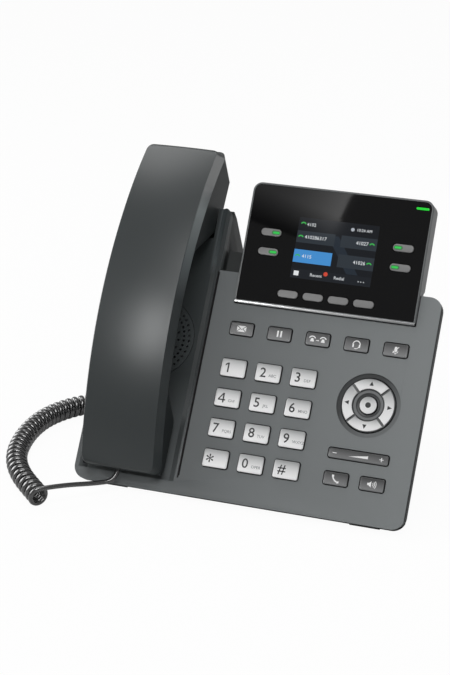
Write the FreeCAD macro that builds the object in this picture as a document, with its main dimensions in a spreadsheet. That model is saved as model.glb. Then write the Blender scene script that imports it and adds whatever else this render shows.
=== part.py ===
import FreeCAD, Part
import math
import os
import re
import Sketcher
from FreeCAD import Placement, Rotation, Vector

os.makedirs("parts", exist_ok=True)
doc = FreeCAD.newDocument("desk_phone")
sheet = doc.addObject("Spreadsheet::Sheet", "sizes")

# Driving dimensions, in millimetres and degrees.
# Face frame: across from the middle of the phone, up along the face from its lower edge, out of the face.
driving = {
    # Stance on the desk
    "face_tilt": 54.0,
    "screen_lean": 4.0,
    "set_back": -79.544,
    "foot_height": 1.2,
    # Front housing
    "body_width": 203.0,
    "plate_length": 137.0,
    "body_corner": 8.0,
    "lip_wall": 5.0,
    "plate_wall": 2.0,
    "shell_wall": 1.8,
    "cradle_width": 65.5,
    "cradle_length": 176.0,
    "block_corner": 5.0,
    "trough_depth": 4.0,
    "trough_slope": 4.0,
    "trough_start": 7.0,
    "trough_margin": 2.5,
    "floor_wall": 2.0,
    "ear_start": 157.0,
    "ear_end": 166.5,
    "ear_sink": 15.0,
    "ear_width": 49.6,
    "ear_wall": 0.8,
    "groove_width": 1.0,
    "groove_depth": 1.2,
    "groove_start": 11.0,
    # Rear housing
    "rear_rim": 1.0,
    "tray_bevel": 4.5,
    "step_up": 62.0,
    "step_depth": 27.0,
    "crest_up": 160.5,
    "crest_depth": 37.5,
    "brow_up": 173.2,
    "brow_depth": 13.0,
    "deep_left": 96.5,
    "deep_right": 78.0,
    "deep_round": 5.0,
    "shelf_depth": 11.0,
    "shoulder_up": 152.0,
    "vent_length": 8.0,
    "vent_low": 100.0,
    "vent_width": 2.0,
    "vent_pitch": 6.0,
    # Fits
    "fit_gap": 0.3,
    "key_gap": 0.35,
    "seat_gap": 0.1,
    # Dial keys
    "dial_left": -15.35,
    "dial_pitch": 21.58,
    "dial_low": 24.1,
    "dial_rise": 18.27,
    "dial_wide": 15.5,
    "dial_tall": 10.9,
    "dial_proud": 1.5,
    "key_corner": 1.4,
    "key_round": 0.6,
    "flange_lap": 1.0,
    "flange_thick": 1.0,
    "flange_drop": 0.3,
    "stem_radius": 2.2,
    "stem_length": 0.4,
    # Function keys
    "feature_left": -15.1,
    "feature_pitch": 23.51,
    "feature_up": 103.0,
    "feature_wide": 14.7,
    "feature_tall": 8.2,
    "feature_proud": 0.9,
    "call_left": 57.7,
    "call_pitch": 21.5,
    "call_up": 23.6,
    "call_wide": 14.7,
    "call_tall": 8.0,
    # Navigation rocker
    "nav_across": 68.7,
    "nav_up": 68.7,
    "nav_well": 18.9,
    "nav_well_depth": 0.8,
    "nav_opening": 16.4,
    "nav_outer": 15.7,
    "nav_inner": 9.3,
    "nav_hub": 7.2,
    "nav_proud": 1.0,
    "nav_thick": 2.0,
    "nav_gap": 0.9,
    "nav_slot": 2.4,
    "nav_slot_depth": 1.2,
    "nav_base_thick": 1.6,
    "select_radius": 5.25,
    "select_proud": 0.8,
    # Volume rocker
    "volume_across": 68.4,
    "volume_up": 38.4,
    "volume_wide": 36.0,
    "volume_tall": 6.2,
    "volume_proud": 0.9,
    "volume_drop": 1.0,
    # Boards and membrane
    "board_left": -27.0,
    "board_right": 87.2,
    "board_low": 14.0,
    "board_high": 112.0,
    "board_face": 6.3,
    "board_thick": 1.6,
    "membrane_thick": 1.0,
    "dome_radius": 3.2,
    "membrane_edge": 2.0,
    "capacitor_across": 69.5,
    "capacitor_up": 72.0,
    "capacitor_pitch": 8.0,
    "capacitor_radius": 3.2,
    "capacitor_tall": 9.0,
    # Loudspeaker under the cradle
    "speaker_across": -69.0,
    "speaker_up": 92.0,
    "grille_radius": 24.2,
    "grille_thick": 1.6,
    "grille_hole": 0.8,
    "grille_ring": 21.3,
    "grille_step": 3.3,
    "grille_turn": 18.0,
    "cone_radius": 23.0,
    "basket_depth": 9.0,
    "magnet_radius": 13.0,
    "magnet_depth": 7.0,
    # Sockets on the underside step
    "socket_low": 8.0,
    "network_wide": 16.0,
    "network_deep": 13.3,
    "network_long": 21.0,
    "network_left": 34.0,
    "network_pitch": 20.0,
    "network_mouth": 11.8,
    "network_mouth_deep": 8.2,
    "network_mouth_long": 13.0,
    "modular_wide": 11.2,
    "modular_deep": 11.6,
    "modular_long": 15.0,
    "modular_left": -20.0,
    "modular_pitch": 16.0,
    "modular_mouth": 7.9,
    "modular_mouth_deep": 6.7,
    "modular_mouth_long": 12.0,
    "mouth_floor": 12.0,
    "power_across": 14.0,
    "power_wide": 9.0,
    "power_deep": 11.0,
    "power_long": 14.0,
    "power_bore": 2.9,
    "power_pin": 1.0,
    "power_bore_long": 9.5,
    # Screen module, in its own leaning frame
    "screen_across": 32.35,
    "screen_up": 118.55,
    "screen_proud": 2.0,
    "screen_width": 110.7,
    "screen_height": 74.1,
    "screen_corner": 5.4,
    "screen_foot_corner": 2.6,
    "lens_corner": 0.6,
    "screen_depth": 10.0,
    "screen_back": 14.0,
    "screen_back_low": 20.0,
    "screen_back_bevel": 1.2,
    "screen_rim": 1.1,
    "screen_sill": 1.8,
    "screen_rim_bevel": 0.5,
    "lens_thick": 1.5,
    "lens_sink": 0.2,
    "ledge_width": 1.0,
    "tray_back": 1.8,
    "neck_width": 86.0,
    "neck_low": 22.0,
    "neck_high": 30.0,
    "display_across": 0.75,
    "display_low": 18.9,
    "display_width": 48.96,
    "display_height": 36.72,
    "panel_margin": 3.5,
    "display_board_thick": 1.2,
    "pill_wide": 12.4,
    "pill_tall": 4.4,
    "pill_proud": 0.3,
    "pill_travel": 0.6,
    "soft_across": -0.05,
    "soft_up": 8.6,
    "soft_pitch": 15.45,
    "line_across": 40.4,
    "line_low": 32.5,
    "line_rise": 11.8,
    "lamp_across": 48.75,
    "lamp_up": 68.9,
    "lamp_wide": 7.6,
    "lamp_tall": 1.9,
    # Handset, as an arch about a far axis
    "handset_across": -70.0,
    "arch": 218.0,
    "arch_up": 107.0,
    "arch_out": 38.3,
    "arch_sweep": 58.0,
    "handset_half": 25.4,
    "handset_top_half": 22.4,
    "crown_round": 230.0,
    "cap_drop": 8.0,
    "seam": 0.15,
    "cover_inset": 1.0,
    "grip_thick": 14.5,
    "handset_wall": 2.2,
    "handset_round": 4.0,
    "mouth_end": 9.0,
    "mouth_lean": 1.2,
    "mouth_lobe_start": 12.5,
    "mouth_lobe_end": 44.0,
    "grip_start": 58.0,
    "grip_end": 140.0,
    "ear_lobe_start": 165.0,
    "ear_lobe_end": 197.6,
    "ear_tip": 209.2,
    "ear_dip": 3.0,
    "capsule_up": 181.0,
    "capsule_radius": 12.5,
    "capsule_depth": 7.0,
    "microphone_up": 33.0,
    "microphone_radius": 4.9,
    "microphone_depth": 5.0,
    "handset_hole": 1.2,
    "handset_hole_ring": 7.0,
    "jack_across": -2.3,
    "jack_out": 4.2,
    "weight_length": 50.0,
    "weight_wide": 20.0,
    "weight_thick": 4.0,
    # Hook switch plunger
    "hook_up": 163.5,
    "hook_wide": 10.0,
    "hook_tall": 3.0,
    "hook_show": 1.0,
    "hook_lap": 0.8,
    "hook_flange": 1.3,
    "hook_travel": 3.0,
    # Cord and plugs
    "cord_radius": 1.45,
    "coil_radius": 6.7,
    "plug_wide": 7.4,
    "plug_tall": 6.1,
    "plug_long": 8.0,
    "plug_proud": 3.0,
    "plug_show": 1.5,
    "pitch_tight": 4.5,
    "pitch_open": 6.8,
    # Stand
    "stand_width": 112.0,
    "stand_wall": 3.0,
    "stand_low": 96.0,
    "stand_high": 150.0,
    "stand_reach": 46.0,
    "stand_foot": 22.0,
    "stand_hook_inset": 8.0,
    "stand_hook_long": 3.5,
    "hook_slot_wide": 12.0,
    "hook_slot_tall": 5.0,
    "hook_slot_across": 40.0,
    # Screws
    "screw_head": 2.6,
    "screw_head_tall": 1.8,
    "screw_shank": 1.2,
    "boss_radius": 3.2,
    "screw_sink": 2.4,
}
for row, (name, value) in enumerate(driving.items(), start=1):
    sheet.set(f"A{row}", name)
    sheet.set(f"B{row}", str(value))
    sheet.setAlias(f"B{row}", name)
doc.recompute()


def bound(text):
    return re.sub(r"[a-z_]+", lambda word: f"sizes.{word[0]}" if word[0] in driving else word[0], str(text))


def number(text):
    return float(sheet.evalExpression(bound(text)))


# Lengths that follow from the driving dimensions, as expressions
half = "(body_width / 2)"
divider = "(cradle_width - body_width / 2)"
tray_depth = "(lip_wall + rear_rim + tray_bevel)"
lift = "((lip_wall + rear_rim) * cos(face_tilt) + foot_height)"
screen_left = "(screen_across - screen_width / 2 - fit_gap)"
screen_right = "(screen_across + screen_width / 2 + fit_gap)"
screen_notch = "(screen_up - fit_gap)"
board_back = "(board_face + board_thick)"
membrane_face = "(board_face - membrane_thick)"
flange_top = "(plate_wall + flange_drop)"
flange_low = "(plate_wall + flange_drop + flange_thick)"
arch_low = "(arch_out - arch)"
cap_arch = "(arch - cap_drop)"
cover_arch = "(arch - cap_drop - seam)"
grip_arch = "(arch - grip_thick)"
lens_back = "(lens_sink + lens_thick)"


def plane_of(body, role):
    return next(plane for plane in body.Origin.OriginFeatures if plane.Role == role)


def new_body(label):
    body = doc.addObject("PartDesign::Body", label)
    body.Label = label
    return body


# Places a body's frame at a spot of the face frame, leaning with the face.
def place(body, across="0", up="0", out="0", lean="0"):
    tilt = number(f"face_tilt + {lean}")
    body.Placement = Placement(Vector(0, 0, 0), Rotation(Vector(1, 0, 0), tilt))
    body.setExpression("Placement.Rotation.Angle", bound(f"face_tilt + {lean}"))
    body.setExpression("Placement.Base.x", bound(across))
    back = f"set_back + ({up}) * cos(face_tilt) - ({out}) * sin(face_tilt)"
    rise = f"{lift} + ({up}) * sin(face_tilt) + ({out}) * cos(face_tilt)"
    body.setExpression("Placement.Base.y", bound(back))
    body.setExpression("Placement.Base.z", bound(rise))


def place_face(body):
    place(body)


def place_screen(body):
    place(body, "screen_across", "screen_up", "screen_proud", "screen_lean")


def place_handset(body):
    place(body, "handset_across", "arch_up", arch_low)


def arc_between(start, end, radius, turn):
    chord = end - start
    middle = (start + end) * 0.5
    side = Vector(-chord.y, chord.x, 0).normalize() * turn
    height = math.sqrt(max(radius * radius - chord.Length ** 2 / 4, 0))
    centre = middle + side * height
    first, last = (start, end) if turn > 0 else (end, start)
    angles = [math.atan2(spot.y - centre.y, spot.x - centre.x) for spot in (first, last)]
    return Part.ArcOfCircle(Part.Circle(centre, Vector(0, 0, 1), radius), *angles)


# A loop is a list of corners (x, y). A corner with a radius and a turn starts an arc; turn 1 is anticlockwise.
# Each held place or radius goes into the list with the expression that drives it.
def loop_parts(corners, first):
    spots = [Vector(number(corner[0]), number(corner[1]), 0) for corner in corners]
    shapes, heads, joins, held = [], [], [], []
    for index, corner in enumerate(corners):
        start, end = spots[index], spots[(index + 1) % len(spots)]
        if len(corner) > 2:
            shapes.append(arc_between(start, end, number(corner[2]), corner[3]))
            heads.append(1 if corner[3] > 0 else 2)
            held.append((Sketcher.Constraint("Radius", first + index, number(corner[2])), corner[2]))
        else:
            shapes.append(Part.LineSegment(start, end))
            heads.append(1)
    for index, corner in enumerate(corners):
        after = (index + 1) % len(corners)
        joins.append(Sketcher.Constraint("Coincident", first + index, 3 - heads[index], first + after,
                                         heads[after]))
        for kind, axis in (("DistanceX", 0), ("DistanceY", 1)):
            spot = Sketcher.Constraint(kind, first + index, heads[index], spots[index][axis])
            held.append((spot, corner[axis]))
    return shapes, joins, held


def circle_parts(across, up, radius, first):
    centre = Vector(number(across), number(up), 0)
    held = [(Sketcher.Constraint("DistanceX", first, 3, centre.x), across),
            (Sketcher.Constraint("DistanceY", first, 3, centre.y), up),
            (Sketcher.Constraint("Radius", first, number(radius)), radius)]
    return [Part.Circle(centre, Vector(0, 0, 1), number(radius))], [], held


def sketch_on(body, role, loops, offset):
    sketch = body.newObject("Sketcher::SketchObject", "sketch")
    sketch.AttachmentSupport = [(plane_of(body, role), "")]
    sketch.MapMode = "FlatFace"
    sketch.setExpression("AttachmentOffset.Base.z", bound(offset))
    shapes, joins, held = [], [], []
    for loop in loops:
        if loop[0] == "circle":
            parts = circle_parts(*loop[1:], len(shapes))
        else:
            parts = loop_parts(loop, len(shapes))
        for whole, part in zip((shapes, joins, held), parts):
            whole.extend(part)
    sketch.addGeometry(shapes, False)
    sketch.addConstraint(joins + [constraint for constraint, text in held])
    for index, (constraint, text) in enumerate(held, start=len(joins)):
        sketch.setExpression(f"Constraints[{index}]", bound(text))
    return sketch


# Adds material between two levels along the normal of a plane.
def block(body, loops, low, high, role="XY_Plane"):
    sketch = sketch_on(body, role, loops, f"-({high})" if role == "XZ_Plane" else low)
    pad = body.newObject("PartDesign::Pad", "pad")
    pad.Profile = sketch
    pad.setExpression("Length", bound(f"({high}) - ({low})"))
    return pad


# Takes material away between two levels, and proves that some went.
def cut(body, loops, low, high, role="XY_Plane"):
    doc.recompute()
    before = body.Shape.Volume
    sketch = sketch_on(body, role, loops, f"-({low})" if role == "XZ_Plane" else high)
    pocket = body.newObject("PartDesign::Pocket", "pocket")
    pocket.Profile = sketch
    pocket.Refine = False
    pocket.setExpression("Length", bound(f"({high}) - ({low})"))
    doc.recompute()
    if body.Shape.Volume >= before:
        raise ValueError(f"{body.Label}: a pocket took nothing away")
    return pocket


def dress(body, kind, size, chosen, prop):
    doc.recompute()
    names = [f"Edge{index}" for index, edge in enumerate(body.Shape.Edges, start=1) if chosen(edge)]
    feature = body.newObject(kind, "edge_dress")
    feature.Base = (body.Tip if body.Tip is not feature else feature.BaseFeature, names)
    feature.setExpression(prop, bound(size))
    doc.recompute()
    return feature


# Repeats a feature round the body's own Z axis, one copy every given number of degrees.
def around(body, feature, step):
    pattern = body.newObject("PartDesign::PolarPattern", "ring")
    pattern.Originals = [feature]
    pattern.Axis = (next(axis for axis in body.Origin.OriginFeatures if axis.Role == "Z_Axis"), [""])
    pattern.Angle = 360
    pattern.setExpression("Occurrences", bound(f"round(360 / {step})"))
    body.Tip = pattern
    doc.recompute()
    return pattern


def round_edges(body, size, chosen):
    return dress(body, "PartDesign::Fillet", size, chosen, "Radius")


def bevel_edges(body, size, chosen):
    return dress(body, "PartDesign::Chamfer", size, chosen, "Size")


def box(x_low, y_low, x_high, y_high):
    return [(x_low, y_low), (x_high, y_low), (x_high, y_high), (x_low, y_high)]


def slab(across, up, wide, tall):
    return box(f"{across} - ({wide}) / 2", f"{up} - ({tall}) / 2",
               f"{across} + ({wide}) / 2", f"{up} + ({tall}) / 2")


def rounded(x_low, y_low, x_high, y_high, corner, top_corner=None):
    top = top_corner or corner
    return [
        (f"{x_low} + {corner}", y_low), (f"{x_high} - {corner}", y_low, corner, 1),
        (x_high, f"{y_low} + {corner}"), (x_high, f"{y_high} - {top}", top, 1),
        (f"{x_high} - {top}", y_high), (f"{x_low} + {top}", y_high, top, 1),
        (x_low, f"{y_high} - {top}"), (x_low, f"{y_low} + {corner}", corner, 1),
    ]


def rounded_slab(across, up, wide, tall, corner):
    return rounded(f"({across}) - ({wide}) / 2", f"({up}) - ({tall}) / 2",
                   f"({across}) + ({wide}) / 2", f"({up}) + ({tall}) / 2", f"({corner})")


def at_level(level):
    return lambda edge: all(abs(spot.Z - level) < 0.001 for spot in edge.Vertexes) and \
        edge.BoundBox.ZLength < 0.001


places = {
    "dial": [(f"dial_left + {column} * dial_pitch", f"dial_low + {3 - line} * dial_rise")
             for line in range(4) for column in range(3)],
    "feature": [(f"feature_left + {index} * feature_pitch", "feature_up") for index in range(5)],
    "call": [(f"call_left + {index} * call_pitch", "call_up") for index in range(2)],
}
dial_names = ["one", "two", "three", "four", "five", "six", "seven", "eight", "nine", "star", "zero", "hash"]
feature_names = ["message", "hold", "transfer", "headset", "mute"]
call_names = ["call", "speaker"]
screw_line = "board_low - boss_radius - 2"
screw_places = [("-body_width / 2 + 12", "16"), (f"{divider} + 4", screw_line), ("32", screw_line),
                ("body_width / 2 - 9.4", "14"), ("body_width / 2 - 9.4", "screen_up - boss_radius - 3")]
stand_hook_places = ["stand_low + stand_hook_inset", "stand_high - stand_hook_inset"]
network_places = [f"(network_left + {index} * network_pitch)" for index in range(2)]
modular_places = [f"(modular_left + {index} * modular_pitch)" for index in range(2)]


def housing_outline(notch):
    corner = "body_corner"
    right_side = [
        (f"{corner} - {half}", "0"), (f"{half} - {corner}", "0", corner, 1),
        (half, corner), (half, f"plate_length - {corner}", corner, 1),
        (f"{half} - {corner}", "plate_length"),
    ]
    screen_cut = [(screen_right, "plate_length"), (screen_right, screen_notch),
                  (screen_left, screen_notch), (screen_left, "plate_length")]
    left_side = [
        (divider, "plate_length"), (divider, "cradle_length - block_corner", "block_corner", 1),
        (f"{divider} - block_corner", "cradle_length"),
        (f"{corner} - {half}", "cradle_length", corner, 1),
        (f"-{half}", f"cradle_length - {corner}"), (f"-{half}", corner, corner, 1),
    ]
    return right_side + (screen_cut if notch else []) + left_side


def make_front_housing():
    body = new_body("front_housing")
    block(body, [housing_outline(True)], "-lip_wall", "0")
    # Floor of the cradle trough and the deeper seat of the ear end
    block(body, [box("-deep_left + shell_wall + fit_gap", "trough_start", f"{divider} - shell_wall - fit_gap",
                     "ear_end")], "-(trough_depth + floor_wall)", "-lip_wall + 1")
    ear_half = "(ear_width / 2 + ear_wall)"
    block(body, [box(f"handset_across - {ear_half}", "ear_start - floor_wall",
                     f"handset_across + {ear_half}", "ear_end")], "-(ear_sink + floor_wall)", "-lip_wall")
    # Hollow under the key plate, round the screen notch
    inner = "shell_wall"
    cut(body, [[
        (f"{divider} + {inner}", inner), (f"{half} - {inner}", inner),
        (f"{half} - {inner}", f"plate_length - {inner}"),
        (f"{screen_right} + {inner}", f"plate_length - {inner}"),
        (f"{screen_right} + {inner}", f"{screen_notch} - {inner}"),
        (f"{screen_left} - {inner}", f"{screen_notch} - {inner}"),
        (f"{screen_left} - {inner}", f"plate_length - {inner}"),
        (f"{divider} + {inner}", f"plate_length - {inner}"),
    ]], "-lip_wall - 3", "-plate_wall")
    # Cradle trough with sloped sides, and the ear seat open at the top
    left, right = f"(-{half} + trough_margin)", f"({divider} - trough_margin)"
    cut(body, [[(left, "1"), (left, "0"), (f"{left} + trough_slope", "-trough_depth"),
                (f"{right} - trough_slope", "-trough_depth"), (right, "0"), (right, "1")]],
        "trough_start", "cradle_length + 1", "XZ_Plane")
    cut(body, [box("handset_across - ear_width / 2", "ear_start", "handset_across + ear_width / 2",
                   "cradle_length + 1")], "-ear_sink", "1")
    cut(body, [slab("handset_across", "hook_up", "hook_wide + 2 * fit_gap", "hook_tall + 2 * fit_gap")],
        "-(ear_sink + floor_wall + 1)", "-ear_sink + 1")
    cut(body, [box(f"{divider} - groove_width / 2", "groove_start", f"{divider} + groove_width / 2",
                   "plate_length - groove_width")], "-groove_depth", "0")
    # Loudspeaker window with a ledge
    cut(body, [("circle", "speaker_across", "speaker_up", "grille_radius + fit_gap")],
        "-(trough_depth + grille_thick)", "-trough_depth")
    cut(body, [("circle", "speaker_across", "speaker_up", "grille_radius - 1.2")],
        "-(trough_depth + floor_wall + 1)", "-trough_depth")
    # Openings for the keys
    for kind, wide, tall in (("dial", "dial_wide", "dial_tall"), ("feature", "feature_wide", "feature_tall"),
                             ("call", "call_wide", "call_tall")):
        for start in range(0, len(places[kind]), 3):
            cut(body, [rounded_slab(across, up, f"{wide} + 2 * key_gap", f"{tall} + 2 * key_gap",
                                    "key_corner + key_gap") for across, up in places[kind][start:start + 3]],
                "-plate_wall - 1", "0")
    cut(body, [rounded_slab("volume_across", "volume_up", "volume_wide + 2 * key_gap",
                            "volume_tall + 2 * key_gap", "key_corner + key_gap"),
               ("circle", "nav_across", "nav_up", "nav_opening")], "-plate_wall - 1", "0")
    cut(body, [("circle", "nav_across", "nav_up", "nav_well")], "-nav_well_depth", "0")
    # Screw bosses under the plate, and a hole in the cradle floor for the screw at its lower corner
    block(body, [("circle", *spot, "boss_radius") for spot in screw_places[1:]], "-(lip_wall + rear_rim)",
          "-plate_wall + 0.4")
    for spots, top in ((screw_places[:1], "trough_depth"), (screw_places[1:], "plate_wall")):
        cut(body, [("circle", *spot, "screw_shank + 0.05") for spot in spots], "-(lip_wall + rear_rim) - 1",
            f"-{top} - 0.4")
    place_face(body)
    return body


def make_rear_housing():
    body = new_body("rear_housing")
    block(body, [housing_outline(False)], f"-{tray_depth}", "-lip_wall")
    bevel_edges(body, "tray_bevel", at_level(number(f"-{tray_depth}")))
    brow = [("brow_up", "-brow_depth"), ("cradle_length - 0.6", "-lip_wall - 0.6")]
    back = [("step_up", "-lip_wall - 0.6"), ("step_up", "-step_depth"), ("crest_up", "-crest_depth")]
    block(body, [back + brow], "-deep_left", "deep_right", "YZ_Plane")

    def back_corner(edge):
        sides = (number("-deep_left"), number("deep_right"))
        across = [spot.X for spot in edge.Vertexes]
        deepest = max(spot.Z for spot in edge.Vertexes)
        along = any(max(abs(x - side) for x in across) < 0.001 for side in sides)
        return along and deepest < number(f"-{tray_depth}") - 0.01 and edge.BoundBox.YLength > 1
    round_edges(body, "deep_round", back_corner)
    # The part behind the screen lies lower and ends at a shoulder beside the cradle
    cut(body, [box(divider, "plate_length", "deep_right + 1", "cradle_length + 1")], "-shelf_depth", "0")
    cut(body, [box(divider, "shoulder_up", "deep_right + 1", "cradle_length + 1")], "-crest_depth - 4", "0")
    # Hollow of the tray in two steps, then the deep part
    for inset, low in (("shell_wall + 0.4", "lip_wall + rear_rim"),
                       ("shell_wall + 3.6", f"{tray_depth} - shell_wall")):
        cut(body, [box(f"-{half} + {inset}", inset, f"{half} - {inset}", f"plate_length - {inset}")],
            f"-({low})", "-lip_wall + 1")
    wall = "shell_wall"
    hollow = [(f"step_up + {wall}", "-lip_wall + 1"), (f"step_up + {wall}", f"-step_depth + {wall}")]
    left_top = [("crest_up - 0.9", f"-crest_depth + {wall}"), (f"brow_up - {wall}", "-brow_depth"),
                (f"cradle_length - 0.6 - {wall}", "-lip_wall + 1")]
    back_slope = "(crest_depth - step_depth) / (crest_up - step_up)"
    shoulder_back = f"step_depth + (shoulder_up - {wall} - step_up) * {back_slope}"
    right_top = [(f"shoulder_up - {wall}", f"-({shoulder_back}) + {wall}"),
                 (f"shoulder_up - {wall}", f"-shelf_depth - {wall}"),
                 (f"plate_length - {wall}", f"-shelf_depth - {wall}"),
                 (f"plate_length - {wall}", "-lip_wall + 1")]
    cut(body, [hollow + left_top], f"-deep_left + {wall}", f"{divider} - {wall}", "YZ_Plane")
    cut(body, [hollow + right_top], f"{divider} - {wall} - 0.5", f"deep_right - {wall}", "YZ_Plane")
    # Way in for the ear seat of the front housing
    ear_half = "(ear_width / 2 + ear_wall + fit_gap)"
    cut(body, [box(f"handset_across - {ear_half}", "ear_start - 6", f"handset_across + {ear_half}",
                   "cradle_length + 1")], "-(ear_sink + floor_wall + fit_gap)", "0")
    # Socket openings in the step
    openings = [slab(across, "-(socket_low + network_deep / 2)", "network_wide + 2 * fit_gap",
                     "network_deep + 2 * fit_gap") for across in network_places]
    openings += [slab(across, "-(socket_low + modular_deep / 2)", "modular_wide + 2 * fit_gap",
                      "modular_deep + 2 * fit_gap") for across in modular_places]
    openings.append(slab("power_across", "-(socket_low + power_deep / 2)", "power_wide + 2 * fit_gap",
                         "power_deep + 2 * fit_gap"))
    cut(body, openings, "step_up - 1", f"step_up + {wall} + 1", "XZ_Plane")
    # Vents beside the stand and slots for its hooks
    vents = [slab(f"{side} * (stand_width / 2 + vent_length)", f"vent_low + {index} * vent_pitch",
                  "vent_length", "vent_width") for side in (-1, 1) for index in range(6)]
    cut(body, vents, "-crest_depth - 4", f"-{tray_depth} - 6")
    slots = [slab(f"{side} * hook_slot_across", up, "hook_slot_wide", "hook_slot_tall")
             for side in (-1, 1) for up in stand_hook_places]
    cut(body, slots, "-crest_depth - 4", f"-{tray_depth} - 6")
    # Screw seats
    block(body, [("circle", *spot, "boss_radius + 1") for spot in screw_places], f"-{tray_depth} + 0.4",
          "-(lip_wall + rear_rim + seat_gap)")
    cut(body, [("circle", *spot, "screw_shank + 0.4") for spot in screw_places], f"-{tray_depth} - 1",
        "-lip_wall")
    cut(body, [("circle", *spot, "screw_head + fit_gap") for spot in screw_places], f"-{tray_depth} - 1",
        f"-{tray_depth} + screw_sink")
    place_face(body)
    return body


def make_housing_screws():
    body = new_body("housing_screws")
    seat = f"(-{tray_depth} + screw_sink)"
    for across, up in screw_places:
        block(body, [("circle", across, up, "screw_head")], f"{seat} - screw_head_tall", seat)
        block(body, [("circle", across, up, "screw_shank")], seat, "-(lip_wall + rear_rim) + 0.8")
    place_face(body)
    return body


# Key cap with a flange below the plate and a stem towards its dome
def make_key(label, across, up, wide, tall, proud):
    body = new_body(label)
    block(body, [rounded_slab(across, up, wide, tall, "key_corner")], f"-{flange_top}", proud)
    round_edges(body, "key_round", at_level(number(proud)))
    block(body, [slab(across, up, f"{wide} + 2 * flange_lap", f"{tall} + 2 * flange_lap")],
          f"-{flange_low}", f"-{flange_top}")
    block(body, [("circle", across, up, "stem_radius")], f"-({flange_low} + stem_length)", f"-{flange_low}")
    place_face(body)
    return body


def make_nav():
    centre = ("nav_across", "nav_up")
    top = "nav_proud"
    low = "(nav_proud - nav_thick)"
    ring = new_body("nav_ring")
    block(ring, [("circle", *centre, "nav_outer"), ("circle", *centre, "nav_inner")], low, top)
    round_edges(ring, "key_round", at_level(number(top)))
    for turn in (45, 135):
        reach, thick = "nav_well", "nav_slot / 2"
        corners = [(reach, f"-{thick}"), (reach, thick), (f"-{reach}", thick), (f"-{reach}", f"-{thick}")]
        cut(ring, [[(f"nav_across + ({x}) * cos({turn}) - ({y}) * sin({turn})",
                     f"nav_up + ({x}) * sin({turn}) + ({y}) * cos({turn})") for x, y in corners]],
            f"{top} - nav_slot_depth", top)
    place_face(ring)
    # Carrier plate below the ring, with the dark collar that shows inside it
    base = new_body("nav_carrier")
    base_top = f"({low} - nav_gap)"
    block(base, [("circle", *centre, "nav_outer"), ("circle", *centre, "nav_hub")],
          f"{base_top} - nav_base_thick", base_top)
    block(base, [("circle", *centre, "nav_inner - key_gap"), ("circle", *centre, "nav_hub")], base_top,
          "nav_proud - 0.7")
    place_face(base)
    select = new_body("select_key")
    block(select, [("circle", *centre, "select_radius")], f"-{flange_top}", "select_proud")
    round_edges(select, "key_round", at_level(number("select_proud")))
    block(select, [("circle", *centre, "select_radius + 0.6")], f"-{flange_low}", f"-{flange_top}")
    block(select, [("circle", *centre, "stem_radius")], f"-({flange_low} + stem_length)", f"-{flange_low}")
    place_face(select)


def make_volume():
    body = new_body("volume_rocker")
    flange = "(plate_wall + volume_drop)"
    block(body, [rounded_slab("volume_across", "volume_up", "volume_wide", "volume_tall",
                              "key_corner")], f"-{flange}", "volume_proud")
    round_edges(body, "key_round", at_level(number("volume_proud")))
    block(body, [slab("volume_across", "volume_up", "volume_wide + 2 * flange_lap",
                      "volume_tall + 2 * flange_lap")], f"-({flange} + 0.8)", f"-{flange}")
    place_face(body)


def make_membrane_and_board():
    membrane = new_body("keypad_membrane")
    edge = "membrane_edge"
    block(membrane, [box(f"board_left + {edge}", f"board_low + {edge}", f"board_right - {edge}",
                         f"board_high - {edge}")], "-board_face", f"-{membrane_face}")
    keys = places["dial"] + places["feature"] + places["call"] + [("nav_across", "nav_up")]
    for across, up in keys:
        block(membrane, [("circle", across, up, "dome_radius")], f"-{membrane_face} - 0.2",
              f"-({flange_low} + stem_length + seat_gap)")
    place_face(membrane)

    board = new_body("main_board")
    block(board, [box("board_left", "board_low", "board_right", "board_high")], f"-{board_back}",
          "-board_face")
    chips = [("10", "90", "16", "16", "1.4"), ("36", "92", "12", "9", "1.2"), ("62", "94", "14", "14", "4"),
             ("44", "88", "34", "3", "6"), ("-14", "96", "10", "14", "2.2")]
    for across, up, wide, tall, thick in chips:
        block(board, [slab(across, up, wide, tall)], f"-{board_back} - {thick}", f"-{board_back}")
    for index in range(2):
        block(board, [("circle", "capacitor_across", f"capacitor_up + {index} * capacitor_pitch",
                       "capacitor_radius")], f"-{board_back} - capacitor_tall", f"-{board_back}")
    place_face(board)


def make_socket(label, spots, wide, deep, long, mouth, mouth_deep, mouth_long):
    body = new_body(label)
    level = "(socket_low + seat_gap)"
    for across in spots:
        block(body, [box(f"{across} - {wide} / 2", f"-{level} - {deep}", f"{across} + {wide} / 2",
                         f"-{level}")], "step_up", f"step_up + {long}", "XZ_Plane")
    for across in spots:
        low = f"-(mouth_floor + {mouth_deep})"
        cut(body, [box(f"{across} - {mouth} / 2", low, f"{across} + {mouth} / 2", "-mouth_floor")],
            "step_up - 1", f"step_up + {mouth_long}", "XZ_Plane")
    place_face(body)


def make_power_jack():
    body = new_body("power_jack")
    level = "(socket_low + seat_gap)"
    middle = "-(mouth_floor + power_bore)"
    block(body, [slab("power_across", f"-{level} - power_deep / 2", "power_wide", "power_deep")], "step_up",
          "step_up + power_long", "XZ_Plane")
    cut(body, [("circle", "power_across", middle, "power_bore")], "step_up - 1",
        "step_up + power_bore_long", "XZ_Plane")
    block(body, [("circle", "power_across", middle, "power_pin")], "step_up + 1",
          "step_up + power_bore_long + 0.5", "XZ_Plane")
    place_face(body)


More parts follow.
